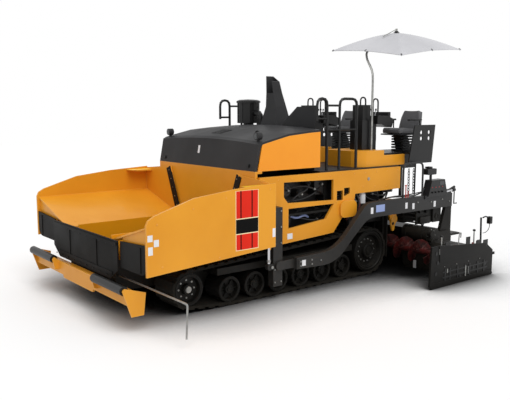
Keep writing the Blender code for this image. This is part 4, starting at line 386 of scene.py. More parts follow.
def fit_both(parts, name, body, slot, finish, sided=False):
    """Fit the left parts and their mirror image; a sided body has its side's word in its name."""
    others = [mirrored(part) for part in parts]
    for word, group in (("left", parts), ("right", others)):
        fit(group, f"{name}_{word}", f"{body}_{word}" if sided else body, slot, finish)


def blocks(*rows):
    """One block for each row of a block's values."""
    return [block(*values) for values in rows]


def ring(centre, radius, wire, segments):
    """Round ridge standing on a face that looks outwards."""
    bpy.ops.object.select_all(action="DESELECT")
    bpy.ops.mesh.primitive_torus_add(major_radius=radius, minor_radius=wire, major_segments=segments,
                                     minor_segments=6, location=centre, rotation=(math.pi / 2, 0, 0))
    return settle(bpy.context.active_object)


def plate_at(x0, x1, z0, z1, y, thick=1.2 * MM):
    """Thin blank plate standing on a face that looks outwards at y."""
    return block((x0, y, z0), (x1, y + thick, z1), 0.3)


def hex_bolt(axis, size):
    """Flanged hexagon bolt head at the origin; size is half its width."""
    return stepped((0, 0, 0), axis, 1.25 * size, 0.25 * size,
                   ((0.25 * size, 0), (0, 0.7 * size), (0.2 * size, 0.1 * size)), 6)


def bolted(places, size, name, body, pair=STEEL, sided=False, axis=OUT):
    """Fit one piece of bolt heads, one at each place, and its mirror image."""
    fit_both(scattered(hex_bolt(axis, size), places), name, body, *pair, sided)


def row(start, end, count):
    """Evenly spaced places from start to end."""
    start, end = Vector(start), Vector(end)
    return [start.lerp(end, i / (count - 1)) for i in range(count)]


# Settings

class PaverStageSettings(bpy.types.PropertyGroup):
    floor_size: FloatProperty(name="Floor size", description="Side of the studio floor", default=80.0, unit="LENGTH")
    sun_power: FloatProperty(name="Key light", description="Strength of the large soft key light", default=1.7)
    fill: FloatProperty(name="Fill", description="Strength of the light from all round", default=0.62)
    floor_colour: FloatVectorProperty(name="Floor", description="Colour of the pale floor", subtype="COLOR",
                                      size=4, default=srgb("F4F4F4"))
    floor_lift: FloatProperty(name="Floor lift", description="How far the floor is lifted towards white in view",
                              default=0.08)


class PaverFabricSettings(bpy.types.PropertyGroup):
    canopy_sag: FloatProperty(name="Canopy sag", description="How far the cloth sinks between two ribs",
                              default=0.012, unit="LENGTH")
    seat_swell: FloatProperty(name="Seat swell", description="Most that the seat's padding bulges",
                              default=0.018, unit="LENGTH")


# Pieces

class PAVER_OT_finishes(bpy.types.Operator):
    """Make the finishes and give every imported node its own"""
    bl_idname = "paver.finishes"
    bl_label = "Finishes"

    def execute(self, context):
        for name, settings in FINISHES.items():
            make_finish(name, **settings)
        for subpart in frame["record"]["subparts"]:
            finish = NODE_FINISHES.get(subpart["node"], SLOT_FINISHES[subpart["material_slot"]])
            thing = frame["nodes"][subpart["node"]]
            thing.data.materials.clear()
            thing.data.materials.append(bpy.data.materials[finish])
        return {"FINISHED"}


WHEEL_WEB = 1.165        # Y of the sunk face between a wheel's rim and its hub
WHEEL_HUB = 1.221        # Y of a hub's face
WHEEL_RIM = 1.228        # Y of the ridge round a wheel's rim
# each wheel's X, Z, radius and number of bolts or ribs
DRIVE_WHEEL = (-1.212, 0.375, 0.330, 14)
IDLER = (2.156, 0.320, 0.215, 8)
ROLLERS = [(1.519 - 0.425 * i, 0.220, 0.175, 6) for i in range(6)]
ROLLER_BOLTS = 0.044     # distance of a roller's four small bolts from its middle
# what stands at which share of a wheel's radius
CAP_SHARE, HUB_SHARE, BOLT_SHARE, RIM_SHARE = 0.2, 0.30, 0.54, 0.90
RIB_START, RIB_END, RIB_HALF = 0.34, 0.76, 0.035


class PAVER_OT_running_gear(bpy.types.Operator):
    """Hub caps, wheel bolts and stiffening ribs of the track wheels"""
    bl_idname = "paver.running_gear"
    bl_label = "Running gear"

    def execute(self, context):
        caps, dull, rings, bolts, ribs = [], [], [], [], []
        bolt = hex_bolt(OUT, 0.011)
        for wheel in (DRIVE_WHEEL, IDLER, *ROLLERS):
            x, z, radius, count = wheel
            cap = stepped((x, WHEEL_HUB, z), OUT, CAP_SHARE * radius, 0.006,
                          ((0.03 * radius, 0.006), (0.08 * radius, 0), (0, -0.004)), 20)
            (caps if wheel is IDLER else dull).append(cap)
            rings.append(ring((x, WHEEL_RIM, z), RIM_SHARE * radius, 0.055 * radius, 36))
            rings.append(ring((x, WHEEL_HUB, z), HUB_SHARE * radius, 0.045 * radius, 28))
            rib = block((RIB_START * radius, WHEEL_WEB - 0.004, -RIB_HALF * radius),
                        (RIB_END * radius, WHEEL_WEB + 0.030, RIB_HALF * radius), 4)
            for i in range(count):
                place = Matrix.Translation((x, 0, z)) @ Matrix.Rotation(2 * math.pi * i / count, 4, "Y")
                if wheel in ROLLERS:
                    ribs.append(copied(rib, place))
                else:
                    bolts.append(copied(bolt, place @ Matrix.Translation((BOLT_SHARE * radius, WHEEL_WEB, 0))))
            bpy.data.objects.remove(rib)
        for x, z, _, _ in ROLLERS:
            for i in range(4):
                turn = Matrix.Rotation(math.pi / 2 * (i + 0.5), 4, "Y")
                dull.append(copied(bolt, Matrix.Translation((x, 0, z)) @ turn
                                   @ Matrix.Translation((ROLLER_BOLTS, WHEEL_HUB, 0)) @ Matrix.Scale(0.6, 4)))
        bpy.data.objects.remove(bolt)
        fit_both(rings, "wheel_rims", "tractor", *WHEEL)
        fit_both(caps, "wheel_caps", "tractor", *STEEL)
        fit_both(dull, "wheel_hubs", "tractor", *WHEEL)
        fit_both(bolts, "wheel_bolts", "tractor", *STEEL)
        fit_both(ribs, "wheel_ribs", "tractor", *WHEEL)
        return {"FINISHED"}


CANOPY_CENTRE = Vector((-2.122, 0.900, 3.545))
CANOPY_SIDE = 1.472
CANOPY_RISE = 0.277
CANOPY_RIDGED = 0.76     # share of the rise that falls along the square outline, the rest falls all round
CANOPY_TILT = math.radians(9)
CANOPY_THICK = 0.012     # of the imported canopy
CANOPY_CELLS = 56        # of the cloth's grid along an edge
CLOTH_THICK = 2.5 * MM
HEM_STEPS = 12


class PAVER_OT_canopy(bpy.types.Operator):
    """Stretched square canopy with its hem, ribs and tips"""
    bl_idname = "paver.canopy"
    bl_label = "Umbrella canopy"

    def execute(self, context):
        sag = context.scene.paver_fabric.canopy_sag
        normal = Vector((1, 1, 0)).normalized() * math.sin(CANOPY_TILT) + UP * math.cos(CANOPY_TILT)
        across = (X_AXIS - normal * normal.x).normalized()
        along = normal.cross(across)
        half = CANOPY_SIDE / 2

        def lift(a, b):
            ridge = max(abs(a), abs(b)) ** 1.4
            return CANOPY_RISE * (1 - CANOPY_RIDGED * ridge - (1 - CANOPY_RIDGED) * (a * a + b * b) / 2)

        def on_cloth(a, b, above=0.0):
            """Place over the rim's plane; the cloth sinks a little between the eight ribs."""
            reach = max(abs(a), abs(b))
            sink = sag * abs(math.sin(4 * math.atan2(b, a))) * reach * (1.4 - reach)
            return CANOPY_CENTRE + (across * a + along * b) * half + normal * (lift(a, b) - sink + above)

        bpy.ops.object.select_all(action="DESELECT")
        bpy.ops.mesh.primitive_grid_add(x_subdivisions=CANOPY_CELLS, y_subdivisions=CANOPY_CELLS, size=2)
        cloth = context.active_object
        for vertex in cloth.data.vertices:
            vertex.co = on_cloth(vertex.co.x, vertex.co.y, CANOPY_THICK / 2)
        only(cloth)
        wall = cloth.modifiers.new("thickness", "SOLIDIFY")
        wall.thickness = CLOTH_THICK
        wall.offset = 0
        bpy.ops.object.modifier_apply(modifier="thickness")
        fit([cloth], "canopy_sheet", "tractor", *CLOTH, 60)
        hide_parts("umbrella_canopy")

        rim = [(-1, -1), (1, -1), (1, 1), (-1, 1)]
        hem = []
        for start, end in zip(rim, rim[1:] + rim[:1]):
            places = [on_cloth(start[0] + (end[0] - start[0]) * i / HEM_STEPS,
                               start[1] + (end[1] - start[1]) * i / HEM_STEPS, CANOPY_THICK / 2)
                      for i in range(HEM_STEPS + 1)]
            hem.append(pipe(places, 0.0055, 6))
        hem = fit(hem, "canopy_hem", "tractor", *CLOTH)

        ribs, tips = [], []
        for a, b in rim + [(1, 0), (0, 1), (-1, 0), (0, -1)]:
            places = [on_cloth(a * s, b * s, -0.004) for s in (0.06, 0.2, 0.4, 0.6, 0.8, 0.97)]
            ribs.append(pipe(places, 0.005, 6))
            ahead = (places[-1] - places[-2]).normalized()
            tips.append(stepped(places[-1] + normal * 0.006 - ahead * 0.01, ahead, 0.013, 0.030,
                                ((0.003, 0.006), (0.004, 0.004)), 10))
            strut = [places[3], CANOPY_CENTRE + normal * 0.06 + (across * a + along * b) * 0.03]
            ribs.append(pipe(strut, 0.0045, 6, soft=False))
        ribs.append(stepped(CANOPY_CENTRE + normal * 0.045, normal, 0.036, 0.03, ((0.006, 0), (0, 0.008)), 16))
        ribs = fit(ribs, "canopy_ribs", "tractor", *STEEL)
        tips.append(stepped(CANOPY_CENTRE + normal * (CANOPY_RISE + 0.010), normal, 0.050, 0.006,
                            ((0.014, 0.008), (0.006, 0.010)), 20))
        tips = fit(tips, "canopy_tips", "tractor", *PLASTIC)
        return {"FINISHED"}


SEAT_CENTRES = (0.94, -0.465)
SEAT_WIDTH = 0.44
BACK_LEAN = math.radians(106)
SEAM_WIDTH, SEAM_DEPTH = 0.009, 0.007
FILL_STEPS = 20          # frames of the cloth simulation that fills a pad
# X, Z of a pad's middle, its length and thickness, and its lean from the floor
SEAT_PADS = (("cushion", -2.195, 2.232, 0.400, 0.082, math.radians(2)),
             ("back", -2.515, 2.400, 0.370, 0.075, BACK_LEAN))


def narrowed(thing, length, part):
    """Round the front corners of a cushion, or narrow a back towards its top and raise its sides."""
    for vertex in thing.data.vertices:
        along = vertex.co.x / length
        if part == "back":
            vertex.co.z += 0.020 * min(1.0, abs(vertex.co.y) / 0.22) ** 3 * (vertex.co.z > 0)
            vertex.co.y *= 1 - 0.8 * max(0.0, along + 0.1) ** 2
        else:
            vertex.co.y *= 1 - 4.0 * max(0.0, along - 0.28) ** 2
    return thing


class PAVER_OT_seats(bpy.types.Operator):
    """Padded cushions and backs of the two seats, with their shells"""
    bl_idname = "paver.seats"
    bl_label = "Seats"

    def execute(self, context):
        swell = context.scene.paver_fabric.seat_swell
        scene = context.scene
        for part, x, z, length, thick, lean in SEAT_PADS:
            pad = block((-length / 2, -SEAT_WIDTH / 2, -thick / 2), (length / 2, SEAT_WIDTH / 2, thick / 2), 24, 3)
            rebuild = pad.modifiers.new("rebuild", "REMESH")
            rebuild.mode = "VOXEL"
            rebuild.voxel_size = 9 * MM
            bpy.ops.object.modifier_apply(modifier="rebuild")
            start = [vertex.co.copy() for vertex in pad.data.vertices]
            cloth = pad.modifiers.new("filling", "CLOTH")
            cloth.settings.use_pressure = True
            cloth.settings.uniform_pressure_force = 4.0
            cloth.settings.effector_weights.gravity = 0.0
            for step in range(1, FILL_STEPS + 1):
                scene.frame_set(step)
            bpy.ops.object.modifier_apply(modifier="filling")
            scene.frame_set(1)
            for vertex, old in zip(pad.data.vertices, start):
                move = vertex.co - old
                if move.length > swell:
                    vertex.co = old + move * (swell / move.length)
            for vertex in pad.data.vertices:
                a, b = vertex.co.x / length, vertex.co.y / SEAT_WIDTH
                if vertex.co.z > 0:
                    # three sewn channels across, a welt inside each side, and a hollow between the sides
                    seam = sum(math.exp(-((a - at) * length / SEAM_WIDTH) ** 2) for at in (-0.22, 0.0, 0.22))
                    seam = seam * (abs(b) < 0.36) + math.exp(-((abs(b) - 0.37) * SEAT_WIDTH / SEAM_WIDTH) ** 2)
                    vertex.co.z -= SEAM_DEPTH * min(1.0, seam) + 0.010 * (1 - min(1.0, (2 * b) ** 2))
                else:
                    vertex.co.z = max(vertex.co.z, -thick / 2)
            narrowed(pad, length, part)
            smooth = pad.modifiers.new("smooth", "SUBSURF")
            smooth.levels = smooth.render_levels = 1
            bpy.ops.object.modifier_apply(modifier="smooth")
            turn = Matrix.Translation((x, 0, z)) @ Matrix.Rotation(-lean, 4, "Y")
            for centre, (_, word) in zip(SEAT_CENTRES, SIDES):
                made = copied(pad, Matrix.Translation((0, centre, 0)) @ turn)
                fit([made], f"seat_{part}_{word}", "tractor", "seat_grey", "seat_vinyl", 80)
                if part == "cushion":
                    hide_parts("seat_" + word)
            bpy.data.objects.remove(pad)
        for centre, (_, word) in zip(SEAT_CENTRES, SIDES):
            shell = [block((-2.40, centre - 0.215, 2.168), (-2.00, centre + 0.215, 2.190), 8, 2)]
            rear = narrowed(block((-0.17, -0.205, -0.008), (0.17, 0.205, 0.008), 6, 2), 0.34, "back")
            place = Matrix.Translation((-2.562, centre, 2.388)) @ Matrix.Rotation(-BACK_LEAN, 4, "Y")
            rear.data.transform(place)
            shell.append(rear)
            for y in (-0.2, 0.2):
                shell.append(pipe([(-2.36, centre + y, 2.18), (-2.45, centre + y, 2.19), (-2.52, centre + y, 2.28)],
                                  0.012, 8))
            fit(shell, "seat_shell_" + word, "tractor", *PLASTIC)
        return {"FINISHED"}


WING_FACE = 1.690        # Y of a wing's outer face
STRIPE = ((1.402, 1.745), (0.850, 1.590))     # X from rear to front, Z from foot to top
STRIPE_PLATE = (1.058, 1.236)                 # Z of the black plate across the band
STRIPE_LINES = (1.497, 1.672)                 # X of the black lines down the band


class PAVER_OT_wing_markings(bpy.types.Operator):
    """Striped band, blank plates and bolts on the hopper wings"""
    bl_idname = "paver.wing_markings"
    bl_label = "Wing markings"

    def execute(self, context):
        def film(x0, x1, z0, z1, layer):
            return block((x0, WING_FACE, z0), (x1, WING_FACE + layer * 0.4 * MM, z1), 0.1)

        (rear, front), (low, top) = STRIPE
        cream = [film(rear - 0.008, front + 0.008, low - 0.008, top + 0.004, 1)]
        plate_low, plate_top = STRIPE_PLATE
        red, black = [], []
        for z0, z1 in ((low, plate_low - 0.012), (plate_top + 0.012, top)):
            red.append(film(rear, front, z0, z1, 2))
            for x in STRIPE_LINES:
                black.append(film(x - 0.009, x + 0.009, z0, z1, 3))
        black.append(film(rear - 0.004, front + 0.004, plate_low, plate_top, 3))
        fit_both(cream, "stripe_border", "wing", "hopper_yellow", "film_cream", True)
        fit_both(red, "stripe_red", "wing", "auger_red", "film_red", True)
        fit_both(black, "stripe_black", "wing", "rail_black", "film_black", True)
        plates = [film(2.920, 2.985, 1.110, 1.185, 2), film(2.840, 2.905, 1.045, 1.125, 2),
                  film(2.920, 2.980, 0.955, 1.050, 2), film(1.112, 1.160, 0.950, 1.065, 2)]
        fit_both(plates, "wing_plates", "wing", *WHITE, True)
        places = [(1.895, WING_FACE, 1.521), (2.374, WING_FACE, 1.435), (2.860, WING_FACE, 1.300),
                  (1.20, WING_FACE, 1.58), (1.20, WING_FACE, 0.80), (2.0, WING_FACE, 0.80), (2.8, WING_FACE, 0.80)]
        bolted(places, 0.009, "wing_bolts", "wing", ("hopper_yellow", "body_enamel"), True)
        return {"FINISHED"}


class PAVER_OT_machinery(bpy.types.Operator):
    """Pumps, tank, hoses and pipes seen through the side panels' windows and behind their rear"""
    bl_idname = "paver.machinery"
    bl_label = "Machinery"

    def execute(self, context):
        dark = blocks(((-0.60, 0.88, 1.20), (0.66, 1.00, 1.64), 10), ((-0.72, 0.88, 0.84), (0.66, 0.98, 1.22), 10),
                      ((-1.62, 0.84, 0.80), (-0.86, 1.12, 1.64), 16, 2), ((-1.84, 0.90, 1.26), (-1.58, 1.16, 1.64), 12),
                      ((-0.34, 1.00, 1.34), (-0.10, 1.14, 1.56), 8), ((0.34, 0.98, 0.94), (0.52, 1.12, 1.10), 8),
                      ((-1.36, 1.12, 1.34), (-1.12, 1.20, 1.58), 10))
        for x, z, radius in ((0.44, 1.45, 0.090), (0.18, 1.38, 0.065), (0.02, 1.52, 0.045), (0.18, 1.08, 0.070),
                             (-0.16, 1.10, 0.055), (-1.50, 1.44, 0.080), (-0.98, 1.50, 0.060), (-1.28, 0.98, 0.070)):
            dark.append(stepped((x, 1.0, z), OUT, radius, 0.12, ((0.2 * radius, 0), (0, 0.02), (0.2 * radius, 0),
                                                                 (0, -0.012), (0.25 * radius, 0.006)), 20))
        for i in range(6):
            dark.append(block((0.24 + 0.05 * i, 1.0, 1.56), (0.26 + 0.05 * i, 1.10, 1.63), 2))
        fit_both(dark, "machinery", "tractor", "chassis_black", "oily_enamel")

        drop = ((-0.80, 1.20, 1.34), (-0.84, 1.27, 1.20), (-0.80, 1.27, 1.04), (-0.74, 1.20, 0.92))
        lines = (
            ((-0.33, 1.12, 1.31), (-0.05, 1.18, 1.44), (0.22, 1.16, 1.50), (0.60, 1.08, 1.40)),
            ((-0.33, 1.10, 1.52), (-0.02, 1.17, 1.36), (0.34, 1.14, 1.29), (0.60, 1.05, 1.30)),
            ((0.02, 1.10, 1.63), (0.05, 1.16, 1.48), (0.30, 1.18, 1.36), (0.42, 1.12, 1.22)),
            ((-0.35, 1.08, 1.02), (-0.12, 1.17, 0.98), (0.16, 1.16, 1.02), (0.55, 1.08, 1.16)),
            ((0.56, 1.06, 0.98), (0.30, 1.17, 1.12), (0.05, 1.15, 1.19), (-0.30, 1.06, 1.24)),
            drop,
            ((-0.86, 1.20, 1.36), (-0.91, 1.27, 1.22), (-0.87, 1.27, 1.06), (-0.80, 1.20, 0.90)),
            ((-1.02, 1.16, 1.40), (-1.25, 1.22, 1.28), (-1.50, 1.22, 1.24), (-1.80, 1.14, 1.30)),
            ((-1.02, 1.14, 1.34), (-1.22, 1.21, 1.20), (-1.46, 1.20, 1.16), (-1.70, 1.12, 1.22)),
            ((-1.30, 1.16, 1.52), (-1.36, 1.22, 1.36), (-1.40, 1.21, 1.12), (-1.42, 1.12, 0.96)),
            ((-1.60, 1.14, 1.48), (-1.64, 1.21, 1.34), (-1.56, 1.20, 1.12), (-1.50, 1.10, 0.94)),
        )
        fit_both([pipe(line, 0.013) for line in lines], "bay_hoses", "tractor", *HOSE)
        red = [pipe([(x + shift, y, z) for x, y, z in drop], 0.011) for shift in (0.03, -0.09)]
        fit_both(red, "bay_guards", "tractor", *PRIMER)
        bright = [pipe(((0.02, 1.13, 1.03), (0.14, 1.18, 1.07), (0.30, 1.17, 1.05), (0.44, 1.10, 1.12)), 0.017),
                  pipe(((-0.30, 1.15, 1.58), (0.05, 1.17, 1.575), (0.40, 1.15, 1.58)), 0.008)]
        fit_both(bright, "bay_pipes", "tractor", "steel", "film_blue")
        nut = stepped((0, -0.02, 0), OUT, 0.017, 0.022, ((0.004, 0), (0, 0.012), (0.003, 0.002)), 6)
        places = [(0.44, 1.17, 1.45), (0.18, 1.17, 1.38), (-0.22, 1.17, 1.50), (-0.05, 1.19, 1.44), (0.52, 1.15, 1.33),
                  (0.18, 1.17, 1.08), (-0.12, 1.18, 0.99), (-0.84, 1.28, 1.20), (-1.25, 1.235, 1.28),
                  (-1.50, 1.235, 1.24), (-1.46, 1.215, 1.16), (-1.36, 1.235, 1.36), (-1.64, 1.225, 1.34),
                  (-1.74, 1.20, 1.29), (-1.10, 1.20, 1.30)]
        fit_both(scattered(nut, places), "bay_fittings", "tractor", *STEEL)
        jar = stepped((-1.045, 1.21, 1.15), UP, 0.055, 0.14,
                      ((0.010, 0.012), (0.018, 0), (0, 0.016), (0.004, 0.003)), 20)
        fit_both([jar], "washer_jar", "tractor", *WHITE)
        return {"FINISHED"}


PANEL_FACE = 1.290       # Y of a side panel's outer face
VENT_Y = 1.268           # middle of the slats in its vents


class PAVER_OT_side_panels(bpy.types.Operator):
    """Bolts, slats, catches and blank plates on the side panels"""
    bl_idname = "paver.side_panels"
    bl_label = "Side panels"

    def execute(self, context):
        places = []
        for (x0, z0), (x1, z1), count in (((-1.78, 1.63), (0.98, 1.63), 12), ((-1.78, 1.38), (-0.98, 1.42), 4),
                                          ((0.98, 0.80), (0.98, 1.22), 4), ((0.70, 1.24), (-0.40, 1.24), 2)):
            places += row((x0, PANEL_FACE, z0), (x1, PANEL_FACE, z1), count)
        bolted(places, 0.008, "panel_bolts", "tractor", YELLOW)
        slats = []
        for x0, x1, z0, z1 in ((-0.544, -0.414, 1.248, 1.392), (-0.693, -0.565, 1.300, 1.426)):
            for i in range(5):
                z = z0 + (i + 0.5) * (z1 - z0) / 5
                slat = block((x0 + 0.002, -0.011, -0.002), (x1 - 0.002, 0.011, 0.002), 1)
                slat.data.transform(Matrix.Translation((0, VENT_Y, z)) @ Matrix.Rotation(math.radians(35), 4, "X"))
                slats.append(slat)
        fit_both(slats, "vent_slats", "tractor", *POWDER)
        catches = [stepped((x, PANEL_FACE, z), OUT, 0.026, 0.004, ((0.004, 0.003), (0.010, 0), (0, -0.003)), 16)
                   for x, z in ((-1.10, 1.53), (0.86, 1.10))]
        fit_both(catches, "panel_catches", "tractor", *STEEL)
        plates = [plate_at(0.46, 0.555, 0.782, 0.862, PANEL_FACE)]
        fit_both(plates, "panel_plates", "tractor", *WHITE)
        return {"FINISHED"}


TOW_CYLINDER = (0.985, 1.400)    # X, Y of the cylinder that raises a tow point
TOW_GUIDE_FACE = 1.400   # Y of the outer face of the guide beside it


class PAVER_OT_tow_gear(bpy.types.Operator):
    """Sleeve, cap, chromed rod and hose of the cylinders that raise the tow points, and their guides' bolts"""
    bl_idname = "paver.tow_gear"
    bl_label = "Tow point cylinders"

    def execute(self, context):
        x, y = TOW_CYLINDER
        sleeve = [stepped((x, y, 0.800), UP, 0.0435, 0.300, ((0.004, 0.003),), 20)]
        fit_both(sleeve, "tow_cylinder_sleeve", "tractor", *PRIMER)
        cap = [stepped((x, y, 1.100), UP, 0.0465, 0.125, ((0.008, 0.010), (0.012, 0), (0, 0.008)), 20),
               stepped((x, y, 0.800), -UP, 0.0455, 0.020, ((0.006, 0.006),), 20),
               pipe(((x - 0.05, y, 1.17), (x - 0.09, 1.35, 1.14), (x - 0.10, 1.325, 0.98), (x - 0.09, 1.31, 0.82),
                     (x - 0.11, 1.27, 0.70)), 0.011)]
        fit_both(cap, "tow_cylinder_cap", "tractor", *HOSE)
        rod = [stepped((x, y, 0.520), UP, 0.0235, 0.250, ((0.002, 0.002),), 20)]
        fit_both(rod, "tow_cylinder_rod", "tractor", *CHROME)
        band = [stepped((x, y, 0.540), UP, 0.032, 0.028, ((0.004, 0.004),), 16)]
        band.append(stepped((x - 0.03, 1.442, 0.470), OUT, 0.022, 0.006, ((0.006, 0.004), (0.004, 0)), 12))
        fit_both(band, "tow_cylinder_band", "tractor", *STEEL)
        places = [(px, TOW_GUIDE_FACE, z) for px in (0.765, 0.875) for z in (0.24, 0.42, 0.78, 1.00, 1.22)]
        bolted(places, 0.010, "tow_guide_bolts", "tractor")
        return {"FINISHED"}


ARM_FACE = 1.500         # Y of a tow arm's outer face
BRACKET_FACE = 1.512     # Y of the bracket on it, near the front
SLOPE_POST_Y = 1.475
SCREW_ROD_Y = 1.485      # of the rod along the arm's top
SCREW_ROD_WAY = (-1, 0, 0.088)


class PAVER_OT_tow_arms(bpy.types.Operator):
    """Blank plates, bolts, hoses and rods on the tow arms"""
    bl_idname = "paver.tow_arms"
    bl_label = "Tow arms"

    def execute(self, context):
        white = [plate_at(x - 0.028, x + 0.028, z - 0.048, z + 0.048, ARM_FACE)
                 for x, z in ((-0.960, 1.070), (-1.770, 1.075), (-1.945, 1.050), (-2.500, 1.040))]
        white.append(plate_at(0.405, 0.475, 0.430, 0.512, BRACKET_FACE))
        fit_both(white, "arm_plates", "screed", *WHITE)
        long_plate = [plate_at(-1.250, -1.050, 1.035, 1.145, ARM_FACE)]
        fit_both(long_plate, "arm_plate_long", "screed", "canopy_cloth", "film_blue")
        places = [(x, BRACKET_FACE, z) for x in (0.29, 0.50) for z in (0.435, 0.495)]
        places += [(x, ARM_FACE, z) for x, z in ((-2.05, 1.10), (-2.40, 1.08), (-2.70, 1.10), (-2.90, 1.05),
                                                 (0.10, 0.46))]
        bolted(places, 0.011, "arm_bolts", "screed")
        hoses = [pipe(((-1.05, 1.40, 1.16), (-1.40, 1.43, 1.225), (-1.80, 1.44, 1.215), (-2.20, 1.43, 1.235),
                       (-2.32, 1.43, 1.30)), 0.012),
                 pipe(((-1.05, 1.38, 1.12), (-1.45, 1.39, 1.215), (-1.90, 1.40, 1.225), (-2.32, 1.41, 1.25)), 0.010),
                 pipe(((-2.35, 1.40, 1.16), (-2.42, 1.32, 0.98), (-2.50, 1.25, 0.78), (-2.60, 1.18, 0.60)), 0.012),
                 pipe(((-2.52, 1.40, 1.16), (-2.60, 1.30, 0.96), (-2.66, 1.20, 0.74), (-2.70, 1.12, 0.58)), 0.012)]
        fit_both(hoses, "arm_hoses", "screed", *HOSE)
        red = [pipe(((x, SLOPE_POST_Y, 1.02), (x, SLOPE_POST_Y, top)), radius, soft=False)
               for x, top, radius in ((-1.775, 1.385, 0.009), (-1.83, 1.30, 0.007))]
        red.append(stepped((-1.775, SLOPE_POST_Y, 1.385), UP, 0.016, 0.012, ((0.004, 0.006),), 12))
        fit_both(red, "arm_slope_posts", "screed", "auger_red", "signal_red")
        rod = [pipe(((-2.24, SCREW_ROD_Y, 1.165), (-3.05, SCREW_ROD_Y, 1.236)), 0.017, 12, soft=False)]
        fit_both(rod, "arm_screw_rod", "screed", *CHROME)
        ends = [stepped((-2.22, SCREW_ROD_Y, 1.163), SCREW_ROD_WAY, 0.034, 0.07, ((0.008, 0.006),), 14),
                stepped((-3.00, SCREW_ROD_Y, 1.231), SCREW_ROD_WAY, 0.030, 0.06, ((0.006, 0.006),), 14)]
        fit_both(ends, "arm_screw_ends", "screed", *POWDER)
        return {"FINISHED"}


BOX_FACE = 1.530         # Y of a control box's outer face


class PAVER_OT_control_boxes(bpy.types.Operator):
    """Switches, dials and screen of the screed's control boxes"""
    bl_idname = "paver.control_boxes"
    bl_label = "Screed control boxes"

    def execute(self, context):
        knobs, glass, lamps = [], [], []
        for i in range(4):
            x = -2.38 - 0.09 * i
            knobs.append(stepped((x, BOX_FACE, 1.24), OUT, 0.016, 0.008, ((0.004, 0), (0, 0.012), (0.003, 0.002)), 12))
            lamps.append(stepped((x, BOX_FACE, 1.32), OUT, 0.008, 0.004, ((0.002, 0.003),), 10))
        glass.append(plate_at(-2.70, -2.58, 1.35, 1.41, BOX_FACE, 2 * MM))
        knobs.append(block((-2.44, 1.40, 1.632), (-2.34, 1.48, 1.66), 6, 2))
        fit_both(knobs, "control_knobs", "screed", *PLASTIC)
        fit_both(lamps, "control_lamps", "screed", *LAMP)
        fit_both(glass, "control_screen", "screed", *GLASS)
        return {"FINISHED"}


RAM = (-2.115, 0.585)    # X, Z of the cylinder that slides an extension out
RAM_BOLTS = 0.098        # radius of the bolt circle on its cover
AUGER_MOUNT = (-1.80, 1.194, 0.745)
LIFT_Y = 1.25            # of the posts and chains that lift the screed
LINK_PITCH = 0.046       # from link to link of a chain


